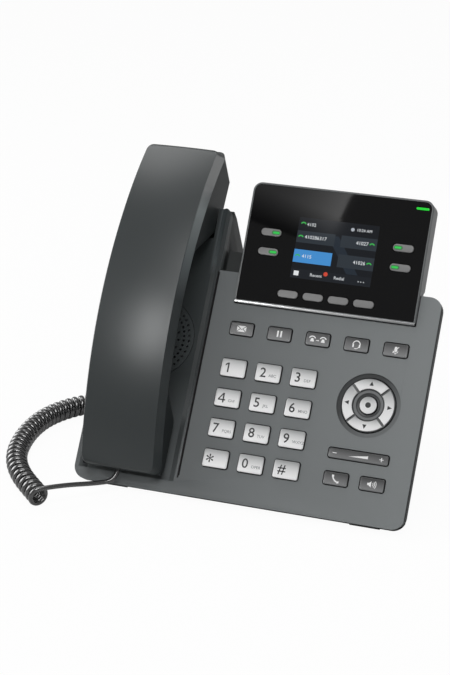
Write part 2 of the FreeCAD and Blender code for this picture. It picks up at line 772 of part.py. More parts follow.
def make_loudspeaker():
    grille = new_body("speaker_grille")
    centre = ("speaker_across", "speaker_up")
    top = "0"
    block(grille, [("circle", "0", "0", "grille_radius")], f"{top} - grille_thick + seat_gap", top)
    rows = [[("0", f"grille_ring - {index} * grille_step") for index in range(4)],
            [(f"(grille_ring - {index} * grille_step) * sin(grille_turn / 2)",
              f"(grille_ring - {index} * grille_step) * cos(grille_turn / 2)") for index in range(2)]]
    holes = [[(f"{across} + grille_hole * cos({corner})", f"{up} + grille_hole * sin({corner})")
              for corner in range(0, 360, 60)] for row in rows for across, up in row]
    around(grille, cut(grille, holes, f"{top} - grille_thick", top), "grille_turn")
    place(grille, *centre, "-trough_depth")

    speaker = new_body("loudspeaker")
    rim = "(trough_depth + floor_wall + seat_gap)"
    block(speaker, [("circle", *centre, "cone_radius"), ("circle", *centre, "cone_radius - 3")],
          f"-({rim} + 2)", f"-{rim}")
    block(speaker, [("circle", *centre, "cone_radius")], f"-({rim} + 3.5)", f"-({rim} + 2)")
    block(speaker, [("circle", *centre, "(cone_radius + magnet_radius) / 2")], f"-({rim} + basket_depth)",
          f"-({rim} + 3.5)")
    block(speaker, [("circle", *centre, "magnet_radius")], f"-({rim} + basket_depth + magnet_depth)",
          f"-({rim} + basket_depth)")
    place_face(speaker)


def make_hook():
    body = new_body("hook_plunger")
    ledge = "(ear_sink + floor_wall + hook_travel + fit_gap)"
    block(body, [slab("handset_across", "hook_up", "hook_wide", "hook_tall")], f"-{ledge}",
          "-(ear_sink - hook_show)")
    block(body, [slab("handset_across", "hook_up", "hook_wide + 4 * hook_lap", "hook_tall + 2 * hook_lap")],
          f"-({ledge} + hook_flange)", f"-{ledge}")
    place_face(body)


# Screen module: a tray closed at the back, the lens over it, and the display on its board inside
soft_places = [(f"soft_across + ({index} - 1.5) * soft_pitch", "soft_up") for index in range(4)]
line_places = [(f"display_across + {side} * line_across", f"line_low + {1 - row} * line_rise")
               for side in (-1, 1) for row in range(2)]
pill_corner = "(pill_tall * 0.45)"


def screen_loop(inset, sill):
    return rounded(f"-screen_width / 2 + {inset}", sill, f"screen_width / 2 - {inset}",
                   f"screen_height - {inset}", "lens_corner", f"(screen_corner - {inset})")


def make_screen():
    housing = new_body("screen_housing")
    block(housing, [rounded("-screen_width / 2", "0", "screen_width / 2", "screen_height",
                            "screen_foot_corner", "screen_corner")], "-screen_depth", "0")
    block(housing, [rounded("-screen_width / 2", "screen_back_low", "screen_width / 2", "screen_height",
                            "screen_foot_corner", "screen_corner")], "-screen_back", "-screen_depth + 1")
    bevel_edges(housing, "screen_back_bevel", at_level(number("-screen_back")))
    bevel_edges(housing, "screen_rim_bevel", at_level(0))
    # Neck that rests on the shelf of the rear housing
    lowest = "screen_proud + shelf_depth - fit_gap"
    block(housing, [[("neck_low", "-screen_depth + 1"),
                     ("neck_low", f"-({lowest} + neck_low * sin(screen_lean)) / cos(screen_lean)"),
                     ("neck_high", f"-({lowest} + neck_high * sin(screen_lean)) / cos(screen_lean)"),
                     ("neck_high", "-screen_depth + 1")]], "-neck_width / 2", "neck_width / 2", "YZ_Plane")
    cut(housing, [screen_loop("screen_rim", "screen_sill")], f"-{lens_back}", "0")
    cut(housing, [screen_loop("(screen_rim + ledge_width)", "(screen_sill + ledge_width)")],
        "-screen_depth + tray_back", "0")
    place_screen(housing)

    lens = new_body("screen_lens")
    block(lens, [screen_loop("(screen_rim + seat_gap)", "(screen_sill + seat_gap)")], f"-{lens_back} + 0.02",
          "-lens_sink")
    for across, up in soft_places + line_places:
        cut(lens, [rounded_slab(across, up, "pill_wide + 2 * key_gap", "pill_tall + 2 * key_gap",
                                f"{pill_corner} + key_gap")], f"-{lens_back} - 1", "0")
    cut(lens, [rounded_slab("lamp_across", "lamp_up", "lamp_wide + 2 * seat_gap", "lamp_tall + 2 * seat_gap",
                            "lamp_tall * 0.4")], f"-{lens_back} - 1", "0")
    place_screen(lens)

    module = new_body("display_module")
    front = f"({lens_back} + seat_gap)"
    floor = "(screen_depth - tray_back - seat_gap)"
    block(module, [slab("display_across", "display_low + display_height / 2", "display_width + 2 * panel_margin",
                        "display_height + 2 * panel_margin")], f"-{floor} + display_board_thick - 0.2",
          f"-{front}")
    block(module, [box("-screen_width / 2 + screen_rim + ledge_width + 1", "screen_sill + ledge_width + 1",
                       "screen_width / 2 - screen_rim - ledge_width - 1",
                       "screen_height - screen_rim - ledge_width - 4")], f"-{floor}",
          f"-{floor} + display_board_thick")
    place_screen(module)

    lamp = new_body("message_lamp")
    block(lamp, [rounded_slab("lamp_across", "lamp_up", "lamp_wide", "lamp_tall", "lamp_tall * 0.4")],
          f"-{lens_back} - 1.2", "-lens_sink + 0.1")
    block(lamp, [slab("lamp_across", "lamp_up - lamp_tall", "lamp_wide - 1", "lamp_tall * 2")],
          f"-{lens_back} - 1.8", f"-{lens_back} - seat_gap")
    place_screen(lamp)

    for kind, spots in (("soft", soft_places), ("line", line_places)):
        for index, (across, up) in enumerate(spots, start=1):
            pill = new_body(f"{kind}_key_{index}")
            lip = f"({lens_back} + seat_gap)"
            block(pill, [rounded_slab(across, up, "pill_wide", "pill_tall", pill_corner)], f"-{lip}",
                  "pill_proud - lens_sink")
            block(pill, [slab(across, up, "pill_wide + flange_lap", "pill_tall + flange_lap")],
                  f"-{lip} - 0.8", f"-{lip}")
            block(pill, [("circle", across, up, "1.5")],
                  f"-{floor} + display_board_thick + pill_travel + 0.2", f"-{lip} - 0.8")
            place_screen(pill)


# Handset shells, sketched about the far axis of the arch
def spot_on(up, out):
    return (f"({up}) - arch_up", f"({out}) - {arch_low}")


def on_arch(up, radius):
    return f"({up}) - arch_up", f"sqrt(({radius})^2 - (({up}) - arch_up)^2)"


lobe_out = "-(trough_depth - fit_gap)"
ear_out = "-(ear_sink - fit_gap)"


def make_handset():
    cap = new_body("handset_shell")
    edge_level = "(arch - crown_round + sqrt(crown_round^2 - handset_top_half^2))"
    section = sketch_on(cap, "XZ_Plane", [[
        ("-handset_half", cap_arch), ("handset_half", cap_arch),
        ("handset_top_half", edge_level, "crown_round", 1), ("-handset_top_half", edge_level)]], "0")
    sweep = cap.newObject("PartDesign::Revolution", "sweep")
    sweep.Profile = section
    sweep.ReferenceAxis = (section, ["H_Axis"])
    sweep.Midplane = True
    sweep.setExpression("Angle", bound("arch_sweep"))
    doc.recompute()
    far = "20"
    low_end = [spot_on(f"mouth_end - {far} * 2", f"-{far}"), spot_on("mouth_end", f"-{far}"),
               spot_on("mouth_end - mouth_lean", f"{far} + 4"), spot_on(f"mouth_end - {far} * 2", f"{far} + 4")]
    high_end = [spot_on("ear_tip + 1.5", f"-{far}"), spot_on(f"ear_tip + {far} * 2", f"-{far}"),
                spot_on(f"ear_tip + {far} * 2", f"{far} + 4"), spot_on("ear_tip - 2.5", f"{far} + 4")]
    for end in (low_end, high_end):
        cut(cap, [end], "-handset_half - 1", "handset_half + 1", "YZ_Plane")
    ends = [number("mouth_end - arch_up"), number("ear_tip - arch_up")]

    def end_corner(edge):
        wide = all(abs(spot.X) > number("handset_top_half") - 0.1 for spot in edge.Vertexes)
        near = any(all(abs(spot.Y - end) < 4 for spot in edge.Vertexes) for end in ends)
        return wide and near and edge.BoundBox.XLength < 5
    round_edges(cap, "handset_round", end_corner)
    # Hollow of the cap, and room for the cord socket
    inner = "handset_half - handset_wall - 1"
    hollow = [(f"-({inner})", f"{cap_arch} - 1"), (inner, f"{cap_arch} - 1"),
              (inner, "arch - handset_wall - 1"), (f"-({inner})", "arch - handset_wall - 1")]
    groove_sketch = sketch_on(cap, "XZ_Plane", [hollow], "0")
    groove = cap.newObject("PartDesign::Groove", "hollow")
    groove.Profile = groove_sketch
    groove.ReferenceAxis = (groove_sketch, ["H_Axis"])
    groove.Midplane = True
    groove.setExpression("Angle", bound("arch_sweep - 9"))
    doc.recompute()
    jack_room = slab("jack_across", f"jack_out - {arch_low}", "modular_wide + 2 * fit_gap", "9 + 2 * fit_gap")
    cut(cap, [jack_room], "mouth_end - arch_up - 3", "mouth_end - arch_up + 18", "XZ_Plane")
    place_handset(cap)

    cover = new_body("handset_cover")
    profile = [
        spot_on("mouth_end + 0.3", "-1.5"), spot_on("mouth_lobe_start", lobe_out),
        spot_on("mouth_lobe_end", lobe_out), (*on_arch("grip_start", grip_arch), grip_arch, -1),
        on_arch("grip_end", grip_arch), spot_on("ear_lobe_start", ear_out),
        spot_on("ear_lobe_end", f"{ear_out} - ear_dip"),
        (*on_arch("ear_tip", cover_arch), cover_arch, 1), on_arch("mouth_end - 0.4", cover_arch),
    ]
    side = "(handset_half - cover_inset)"
    block(cover, [profile], f"-{side}", side, "YZ_Plane")
    bends = [number(up) for up in ("mouth_lobe_end", "grip_start", "grip_end", "ear_lobe_start")]

    def across_bend(edge):
        if edge.BoundBox.XLength < 10:
            return False
        up = edge.Vertexes[0].Y + number("arch_up")
        low = edge.Vertexes[0].Z + number(arch_low) < number(f"{grip_arch} + {arch_low}") + 0.5
        return low and any(abs(up - bend) < 0.2 for bend in bends)
    round_edges(cover, "grip_thick * 0.6", across_bend)

    def under_side(edge):
        if abs(abs(edge.Vertexes[0].X) - number(side)) > 0.01 or edge.BoundBox.XLength > 0.01:
            return False
        spots = edge.discretize(3)
        return all(math.hypot(spot.y, spot.z) < number(cover_arch) - 3 for spot in spots[1:2]) and \
            edge.BoundBox.YLength > 2 and \
            number("mouth_end - arch_up + 1") < spots[1].y < number("ear_tip - arch_up - 4")
    round_edges(cover, "handset_round", under_side)
    wall = "handset_wall"
    room = [
        spot_on(f"mouth_end + {wall} + 1.4", f"{lobe_out} + {wall} + 2"),
        spot_on(f"mouth_lobe_start + {wall}", f"{lobe_out} + {wall}"),
        spot_on("mouth_lobe_end - 1", f"{lobe_out} + {wall}"),
        (*on_arch("grip_start - 1", f"{grip_arch} + {wall}"), f"{grip_arch} + {wall}", -1),
        on_arch("grip_end + 1", f"{grip_arch} + {wall}"), spot_on("ear_lobe_start + 1", f"{ear_out} + {wall}"),
        spot_on(f"ear_lobe_end - {wall}", f"{ear_out} + {wall}"),
        (*on_arch("ear_tip - 4", f"{cap_arch} + 1"), f"{cap_arch} + 1", 1),
        on_arch(f"mouth_end + {wall} + 1.4", f"{cap_arch} + 1"),
    ]
    cut(cover, [room], f"-{side} + {wall} + 1", f"{side} - {wall} - 1", "YZ_Plane")
    cut(cover, [jack_room], "mouth_end - arch_up - 3", "mouth_end - arch_up + 18", "XZ_Plane")
    # Sound holes of the ear piece and the mouth piece
    holes = [("circle", "0", "capsule_up - arch_up", "handset_hole")]
    for index in range(6):
        holes.append(("circle", f"handset_hole_ring * cos({index * 60})",
                      f"capsule_up - arch_up + handset_hole_ring * sin({index * 60})", "handset_hole"))
    cut(cover, holes, f"{ear_out} - {arch_low} - ear_dip - 1", f"{ear_out} - {arch_low} + {wall} + 1")
    slots = [rounded_slab(f"{index} * 3.4", "microphone_up - arch_up", "1.6", "6", "0.7")
             for index in (-1, 0, 1)]
    cut(cover, slots, f"{lobe_out} - {arch_low} - 1", f"{lobe_out} - {arch_low} + {wall} + 1")
    place_handset(cover)

    for label, up, radius, depth, out in (
            ("ear_capsule", "capsule_up", "capsule_radius", "capsule_depth", ear_out),
            ("microphone", "microphone_up", "microphone_radius", "microphone_depth", lobe_out)):
        capsule = new_body(label)
        floor = f"({out} - {arch_low} + handset_wall + seat_gap)"
        centre = ("0", f"{up} - arch_up")
        block(capsule, [("circle", *centre, radius)], floor, f"{floor} + {depth} * 0.5")
        block(capsule, [("circle", *centre, f"{radius} * 0.72")], f"{floor} + {depth} * 0.5",
              f"{floor} + {depth}")
        place_handset(capsule)

    weight = new_body("handset_weight")
    low, high = f"({grip_arch} + handset_wall + seat_gap)", f"({grip_arch} + handset_wall + weight_thick)"
    start, end = "arch_up - weight_length / 2", "arch_up + weight_length / 2"
    bar = [(*on_arch(start, low), low, -1), on_arch(end, low), (*on_arch(end, high), high, 1),
           on_arch(start, high)]
    block(weight, [bar], "-weight_wide / 2", "weight_wide / 2", "YZ_Plane")
    place_handset(weight)

    jack = new_body("handset_socket")
    start = "mouth_end - arch_up + 1"
    block(jack, [slab("jack_across", f"jack_out - {arch_low}", "modular_wide", "9")], start, f"{start} + 15",
          "XZ_Plane")
    cut(jack, [slab("jack_across", f"jack_out - {arch_low}", "modular_mouth", "modular_mouth_deep")],
        f"{start} - 1", f"{start} + modular_mouth_long", "XZ_Plane")
    place_handset(jack)


def make_stand():
    body = new_body("stand")

    # Side view in the frame of the desk: back along the desk, height above it
    def spot(up, out):
        return (f"({up}) * cos(face_tilt) - ({out}) * sin(face_tilt)",
                f"{lift} + ({up}) * sin(face_tilt) + ({out}) * cos(face_tilt)")

    def on_back(up, gap):
        slope = "((crest_depth - step_depth) / (crest_up - step_up))"
        return spot(up, f"-(step_depth + (({up}) - step_up) * {slope} + {gap})")

    top, top_out = on_back("stand_high", "fit_gap"), on_back("stand_high", "fit_gap + stand_wall")
    low, low_out = on_back("stand_low", "fit_gap"), on_back("stand_low", "fit_gap + stand_wall")
    reach = f"({top[0]} + stand_reach)"
    pad_top = "foot_height"
    inner_top = on_back("stand_high - 7", "fit_gap + stand_wall")
    profile = [low, low_out, inner_top, (f"{reach} - stand_wall - 1", f"{pad_top} + stand_wall"),
               (f"{reach} - stand_foot", f"{pad_top} + stand_wall"), (f"{reach} - stand_foot", pad_top),
               (f"{reach} + stand_wall", pad_top), (f"{reach} + stand_wall", f"{pad_top} + stand_wall"),
               (f"{top_out[0]} + 2", top_out[1]), top]
    block(body, [profile], "-stand_width / 2", "stand_width / 2", "YZ_Plane")
    # Hooks through the slots of the rear housing
    tall = "(hook_slot_tall / 2 - fit_gap)"
    for up in stand_hook_places:
        tab = [on_back(f"{up} - {tall}", "fit_gap + 0.5"), on_back(f"{up} + {tall}", "fit_gap + 0.5"),
               on_back(f"{up} + {tall}", "-stand_hook_long"), on_back(f"{up} - {tall}", "-stand_hook_long")]
        for side in (-1, 1):
            middle, wide = f"{side} * hook_slot_across", "(hook_slot_wide / 2 - fit_gap)"
            block(body, [tab], f"{middle} - {wide}", f"{middle} + {wide}", "YZ_Plane")
    body.setExpression("Placement.Base.y", bound("set_back"))
    return reach


def make_feet(reach):
    body = new_body("rubber_feet")
    rim = "(lip_wall + rear_rim)"

    # Front pads fill the wedge between the bevelled edge and the desk
    def drop(up, out):
        height = f"({lift} + ({up}) * sin(face_tilt) + ({out}) * cos(face_tilt))"
        return (f"({up}) - {height} * sin(face_tilt)", f"({out}) - {height} * cos(face_tilt)")

    def world(spot):
        up, out = spot
        return (f"({up}) * cos(face_tilt) - ({out}) * sin(face_tilt)",
                f"{lift} + ({up}) * sin(face_tilt) + ({out}) * cos(face_tilt)")

    near, far = ("0.8", f"-({rim} + 0.8)"), ("tray_bevel - 0.3", f"-({rim} + tray_bevel - 0.3)")
    wedge = [world(near), world(drop(*near)), world(drop(*far)), world(far)]
    for side in (-1, 1):
        low = f"{side} * (body_width / 2 - 24) - 9"
        block(body, [wedge], low, f"{low} + 18", "YZ_Plane")
        low = f"{side} * (stand_width / 2 - 12) - 8"
        block(body, [box(f"{reach} - stand_foot + 3", "0", f"{reach} - 3", "foot_height")], low, f"{low} + 16",
              "YZ_Plane")
    body.setExpression("Placement.Base.y", bound("set_back"))


# Plugs on the ends of the handset cord
def make_plugs():
    handset_plug = new_body("handset_plug")
    start = "mouth_end + 1 - plug_show"
    block(handset_plug, [slab("jack_across", f"jack_out - {arch_low}", "plug_wide", "plug_tall")],
          f"{start} - arch_up", f"{start} - arch_up + plug_show + plug_long", "XZ_Plane")
    place_handset(handset_plug)
    base_plug = new_body("base_plug")
    middle = "-(mouth_floor + modular_mouth_deep / 2)"
    block(base_plug, [slab(modular_places[0], middle, "plug_wide", "plug_tall")], "step_up - plug_proud",
          "step_up + plug_long", "XZ_Plane")
    place_face(base_plug)


def face_spot(across, up, out):
    tilt = math.radians(number("face_tilt"))
    up, out = number(up), number(out)
    back = up * math.cos(tilt) - out * math.sin(tilt)
    return Vector(number(across), back, number(lift) + up * math.sin(tilt) + out * math.cos(tilt))


# Straight runs joined by tangent arcs as large as the runs allow
def route(points, name):
    edges, radii = [], []
    last = points[0]
    for before, corner, after in zip(points, points[1:], points[2:]):
        come, go = corner - before, after - corner
        turn = come.getAngle(go)
        trim = 0.45 * min(come.Length, go.Length)
        radii.append(trim / math.tan(turn / 2))
        come.normalize()
        go.normalize()
        start, end = corner - come * trim, corner + go * trim
        inward = (go - come).normalize()
        middle = corner + inward * (radii[-1] / math.cos(turn / 2) - radii[-1])
        edges.append(Part.LineSegment(last, start).toShape())
        edges.append(Part.Arc(start, middle, end).toShape())
        last = end
    edges.append(Part.LineSegment(last, points[-1]).toShape())
    print(name, "bend radii", [round(radius, 1) for radius in radii])
    return edges


def tube(edges, name):
    path = Part.Wire(edges)
    start = path.Edges[0]
    section = Part.Circle(start.valueAt(start.FirstParameter), start.tangentAt(start.FirstParameter),
                          number("cord_radius"))
    solid = path.makePipeShell([Part.Wire([section.toShape()])], True, False)
    expected = math.pi * number("cord_radius") ** 2 * path.Length
    print(name, "length", round(path.Length, 1), "volume share", round(solid.Volume / expected, 4))
    return solid


def soft_piece(label, shape):
    piece = doc.addObject("Part::Feature", label)
    piece.Label = label
    piece.Shape = shape
    piece.Placement = Placement(Vector(0, number("set_back"), 0), Rotation())


def arc_along(start, heading, end):
    chord = end - start
    along = Vector(chord).normalize()
    side = (heading - along * heading.dot(along)).normalize()
    bulge = chord.Length / 2 * math.tan(heading.getAngle(chord) / 2)
    return Part.Arc(start, (start + end) * 0.5 + side * bulge, end).toShape()


# Two arcs from one place and heading to the next
def biarc(start, heading, end, arrival):
    gap = end - start
    total = heading + arrival
    square = 2 * (heading.dot(arrival) - 1)
    linear = -2 * gap.dot(total)
    constant = gap.dot(gap)
    reach = (-linear - math.sqrt(linear * linear - 4 * square * constant)) / (2 * square)
    joint = (start + heading * reach + end - arrival * reach) * 0.5
    middle_heading = ((end - arrival * reach) - (start + heading * reach)).normalize()
    return [arc_along(start, heading, joint), arc_along(joint, middle_heading, end)]


# Middle line of the curls on the desk, from behind the phone to the front
coil_points = [(-99, 102), (-116, 98.5), (-131, 90), (-141, 78), (-147.3, 64), (-149.4, 48), (-148, 30),
               (-143.5, 11.5), (-135, -4.5), (-122.8, -19), (-107.8, -32.8)]


def make_cord():
    radius = number("coil_radius - cord_radius")
    height = number("coil_radius")
    axis = Part.Wire(route([Vector(x, y, height) for x, y in coil_points], "coil axis"))
    span = axis.Length
    stations = [0.0]
    while stations[-1] < span:
        share = min(max((stations[-1] / span - 0.3) / 0.3, 0), 1)
        ease = share * share * (3 - 2 * share)
        stations.append(stations[-1] + (number("pitch_tight") * (1 - ease) + number("pitch_open") * ease) / 2)
    if len(stations) % 2:
        stations.pop()
    stations = [station * span / stations[-1] for station in stations]
    ends = []
    reached = 0
    for edge in axis.Edges:
        ends.append((reached, edge))
        reached += edge.Length

    def axis_at(station):
        start, edge = [pair for pair in ends if pair[0] <= station + 1e-6][-1]
        spot = edge.getParameterByLength(min(station - start, edge.Length))
        return edge.valueAt(spot), edge.tangentAt(spot)

    # Curls turn left-handed, from the bottom at the back end to the top at the front end
    places_on, headings = [], []
    for index, station in enumerate(stations):
        middle, along = axis_at(station)
        outward = Vector(0, 0, 1 if index % 2 else -1)
        pitch = (stations[min(index + 1, len(stations) - 1)] - stations[max(index - 1, 0)])
        pitch *= 2 if index in (0, len(stations) - 1) else 1
        side = outward.cross(along)
        places_on.append(middle + outward * radius)
        headings.append((side * (2 * math.pi * radius) + along * pitch).normalize())
    straight = 2 * number("cord_radius")
    for end in (0, -1):
        headings[end] = Vector(headings[end].x, headings[end].y, 0).normalize()
    edges = [Part.LineSegment(places_on[0] - headings[0] * straight, places_on[0]).toShape()]
    for index in range(len(places_on) - 1):
        edges += biarc(places_on[index], headings[index], places_on[index + 1], headings[index + 1])
    edges.append(Part.LineSegment(places_on[-1], places_on[-1] + headings[-1] * straight).toShape())
    soft_piece("cord_coil", tube(edges, "cord coil"))
    measure_gap(edges)
    coil_start, coil_end = places_on[0] - headings[0] * straight, places_on[-1] + headings[-1] * straight

    # Free end to the handset
    plug = face_spot("handset_across + jack_across", "mouth_end + 1 - plug_show", "jack_out")
    out_of_plug = face_spot("0", "-1", "0") - face_spot("0", "0", "0")
    tail = [coil_end, coil_end + headings[-1] * 11, Vector(-82.5, -9.5, 8.2), plug + out_of_plug * 7, plug]
    soft_piece("cord_tail", tube(route(tail, "cord tail"), "cord tail"))

    # Free end to the socket under the phone
    plug = face_spot(modular_places[0], "step_up - plug_proud", "-(mouth_floor + modular_mouth_deep / 2)")
    low = number("cord_radius")
    lead = [coil_start, coil_start - headings[0] * 16, Vector(-80, 66, low), Vector(-61, 51, low),
            Vector(-42, 40, 3), Vector(-27, 34, 13), plug + out_of_plug * 16, plug]
    soft_piece("cord_lead", tube(route(lead, "cord lead"), "cord lead"))


def measure_gap(edges):
    wire_length = 0
    marks = []
    for edge in edges:
        for share in (0.25, 0.75):
            spot = edge.getParameterByLength(edge.Length * share)
            marks.append((wire_length + edge.Length * share, edge.valueAt(spot)))
        wire_length += edge.Length
    near = 8 * number("coil_radius - cord_radius")
    apart = 3 * number("coil_radius - cord_radius")
    least = min((first - second).Length for index, (along, first) in enumerate(marks)
                for other, second in marks[index + 1:index + 24] if apart < other - along < near)
    print("least gap between curls", round(least - 2 * number("cord_radius"), 2))


make_front_housing()
make_rear_housing()
make_housing_screws()
for name, (across, up) in zip(dial_names, places["dial"]):
    make_key(f"dial_key_{name}", across, up, "dial_wide", "dial_tall", "dial_proud")
for name, (across, up) in zip(feature_names, places["feature"]):
    make_key(f"{name}_key", across, up, "feature_wide", "feature_tall", "feature_proud")
for name, (across, up) in zip(call_names, places["call"]):
    make_key(f"{name}_key", across, up, "call_wide", "call_tall", "feature_proud")
make_nav()
make_volume()
make_membrane_and_board()
make_socket("network_sockets", network_places, "network_wide", "network_deep", "network_long",
            "network_mouth", "network_mouth_deep", "network_mouth_long")
make_socket("modular_sockets", modular_places, "modular_wide", "modular_deep", "modular_long",
            "modular_mouth", "modular_mouth_deep", "modular_mouth_long")
make_power_jack()
make_loudspeaker()
make_hook()
make_screen()
make_handset()
make_feet(make_stand())
make_plugs()
make_cord()
doc.recompute()

pieces = [item for item in doc.Objects if item.TypeId == "PartDesign::Body" or item.TypeId == "Part::Feature"]
for item in doc.Objects:
    if "Invalid" in item.State or "Error" in item.State:
        raise ValueError(f"{item.Label} failed: {item.State}")
for piece in pieces:
    if piece.Shape.isNull() or not piece.Shape.isValid() or piece.Shape.Volume <= 0:
        raise ValueError(f"{piece.Label} has no valid shape")
for piece in pieces:
    piece.Shape.exportStep(f"parts/{piece.Label}.step")
print(len(pieces), "pieces written")
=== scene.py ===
import math
import bpy
import bmesh
import numpy as np
from mathutils import Matrix


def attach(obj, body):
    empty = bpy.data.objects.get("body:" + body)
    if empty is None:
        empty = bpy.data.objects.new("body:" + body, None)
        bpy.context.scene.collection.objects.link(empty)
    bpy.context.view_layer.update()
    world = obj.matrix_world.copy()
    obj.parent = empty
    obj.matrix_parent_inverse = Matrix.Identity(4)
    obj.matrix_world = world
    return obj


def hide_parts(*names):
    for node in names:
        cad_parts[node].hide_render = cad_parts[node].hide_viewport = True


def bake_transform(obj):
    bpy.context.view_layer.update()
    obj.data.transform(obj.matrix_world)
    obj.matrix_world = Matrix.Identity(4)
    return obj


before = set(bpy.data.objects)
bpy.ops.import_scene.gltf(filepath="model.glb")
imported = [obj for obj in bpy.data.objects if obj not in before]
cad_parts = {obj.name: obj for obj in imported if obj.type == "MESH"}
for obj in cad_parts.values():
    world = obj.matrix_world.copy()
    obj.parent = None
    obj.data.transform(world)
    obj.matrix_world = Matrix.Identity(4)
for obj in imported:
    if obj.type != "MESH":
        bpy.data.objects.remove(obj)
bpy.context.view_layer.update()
scene = bpy.context.scene
scene.view_settings.view_transform = "Standard"

# one millimetre in metres
milli = 0.001

# where the face, the screen, the handset and some lines on the face lie, in mm and degrees
stance = {"tilt": 54.0, "lean": 4.0, "setBack": -79.544, "lift": 4.7267,
          "screenAcross": 32.35, "screenUp": 118.55, "screenOut": 2.0,
          "handsetAcross": -70.0, "arch": 218.0, "archUp": 107.0, "archOut": 38.3,
          "navAcross": 68.7, "navUp": 68.7, "groove": -36.5, "cheek": -41.0}


# a plane's own up and out, turned by its lean in degrees
def leaned(up, out, lean):
    a = np.radians(lean)
    return up * np.cos(a) - out * np.sin(a), up * np.sin(a) + out * np.cos(a)


# face frame to row frame: up runs along the tilted plate, out stands on it
def faceToRow(across, up, out):
    across, up, out = np.broadcast_arrays(np.asarray(across, float), up, out)
    back, rise = leaned(up, out, stance["tilt"])
    return np.stack([across, stance["setBack"] + back, stance["lift"] + rise], -1) * milli


# screen frame to row frame: a plane that leans a little more than the face, from its own lower edge
def screenToRow(across, up, out):
    up, out = leaned(up, out, stance["lean"])
    return faceToRow(stance["screenAcross"] + across, stance["screenUp"] + up, stance["screenOut"] + out)


# channels of 0 to 255 to linear light: a straight foot, then a power curve
def srgb(r, g, b):
    c = np.array([r, g, b]) / 255.0
    return tuple(np.where(c <= 0.04045, c / 12.92, ((c + 0.055) / 1.055) ** 2.4))


# the same with full cover
def opaque(colour):
    return (*srgb(*colour), 1)


# an operator on wires and numbers: one maths node, with the wire as its first or its second input
def operator(operation, wireFirst=True):
    def apply(wire, other):
        pair = [wire, other] if wireFirst else [other, wire]
        return wire.graph.node("Math", {"operation": operation}, pair)
    return apply


# a shader socket that counts as a number does
class Wire:
    def __init__(self, graph, socket):
        self.graph, self.socket = graph, socket

    def clamp(self):
        return self.graph.node("Clamp", {}, [self])

    __add__, __radd__ = operator("ADD"), operator("ADD", False)
    __sub__, __rsub__ = operator("SUBTRACT"), operator("SUBTRACT", False)
    __mul__, __rmul__ = operator("MULTIPLY"), operator("MULTIPLY", False)
    __truediv__, __pow__ = operator("DIVIDE"), operator("POWER")


class Graph:
    def __init__(self, tree, output):
        self.tree, self.output = tree, output

    # any node: its type, its settings, then values or wires for its sockets
    def node(self, kind, settings=None, sockets=None, out=0):
        made = self.tree.nodes.new("ShaderNode" + kind)
        for name, value in (settings or {}).items():
            setattr(made, name, value)
        pairs = sockets.items() if isinstance(sockets, dict) else enumerate(sockets or [])
        for name, value in pairs:
            if isinstance(value, Wire):
                self.tree.links.new(value.socket, made.inputs[name])
            else:
                made.inputs[name].default_value = value
        return Wire(self, made.outputs[out])

    # share of rays of one kind: 1 for those, 0 for all others
    def ray(self, kind):
        return self.node("LightPath", out=kind)

    # white light, as an emission or a background
    def white(self, kind, strength):
        return self.node(kind, {}, {"Color": (1, 1, 1, 1), "Strength": strength})

    def mixed(self, share, first, second):
        return self.node("MixShader", {}, [share, first, second])

    def surface(self, wire):
        self.tree.links.new(wire.socket, self.output.inputs["Surface"])


class Finish(Graph):
    def __init__(self, name, shader=None):
        self.material = bpy.data.materials.new(name)
        self.material.use_nodes = True
        nodes = self.material.node_tree.nodes
        super().__init__(self.material.node_tree, nodes["Material Output"])
        self.shader = nodes["Principled BSDF"]
        for socket, value in (shader or {}).items():
            self.shader.inputs[socket].default_value = value

    def place(self, kind="Object"):
        return self.node("TexCoord", out=kind)

    # one coordinate of a place
    def along(self, kind, axis):
        return self.node("SeparateXYZ", {}, [self.place(kind)], axis)

    # millimetres across, up and out of the tilted face, from a point's own place on the piece
    def faceAxes(self):
        a = np.radians(stance["tilt"])
        ways = ((1, 0, 0), (0, np.cos(a), np.sin(a)), (0, -np.sin(a), np.cos(a)))
        start = (0, stance["setBack"], stance["lift"])
        place = self.place()
        dot = {"operation": "DOT_PRODUCT"}
        return [self.node("VectorMath", dot, [place, way], "Value") / milli
                - float(np.dot(way, start)) for way in ways]

    def noise(self, scale, detail=3.0, rough=0.55):
        return self.node("TexNoise", {}, {"Vector": self.place(), "Scale": scale,
                                                    "Detail": detail, "Roughness": rough})

    def blend(self, share, first, second):
        return self.node("Mix", {"data_type": "RGBA"}, {0: share, 6: first, 7: second}, 2)

    def feed(self, socket, wire):
        self.tree.links.new(wire.socket, self.shader.inputs[socket])

    def bump(self, height, strength, distance):
        self.feed("Normal", self.node("Bump", {}, {"Height": height, "Strength": strength,
                                                             "Distance": distance}))


# what a paint zone can measure on the face: its three axes, across less up, the distance from the
# rocker's middle, and the squared distances from the groove and from the cheek of the ear seat
measures = {"across": lambda x, up, out: x,
            "up": lambda x, up, out: up,
            "out": lambda x, up, out: out,
            "slant": lambda x, up, out: x - up,
            "fromNav": lambda x, up, out: ((x - stance["navAcross"]) ** 2
                                           + (up - stance["navUp"]) ** 2) ** 0.5,
            "grooveSquare": lambda x, up, out: (x - stance["groove"]) ** 2,
            "cheekSquare": lambda x, up, out: (x - stance["cheek"]) ** 2}

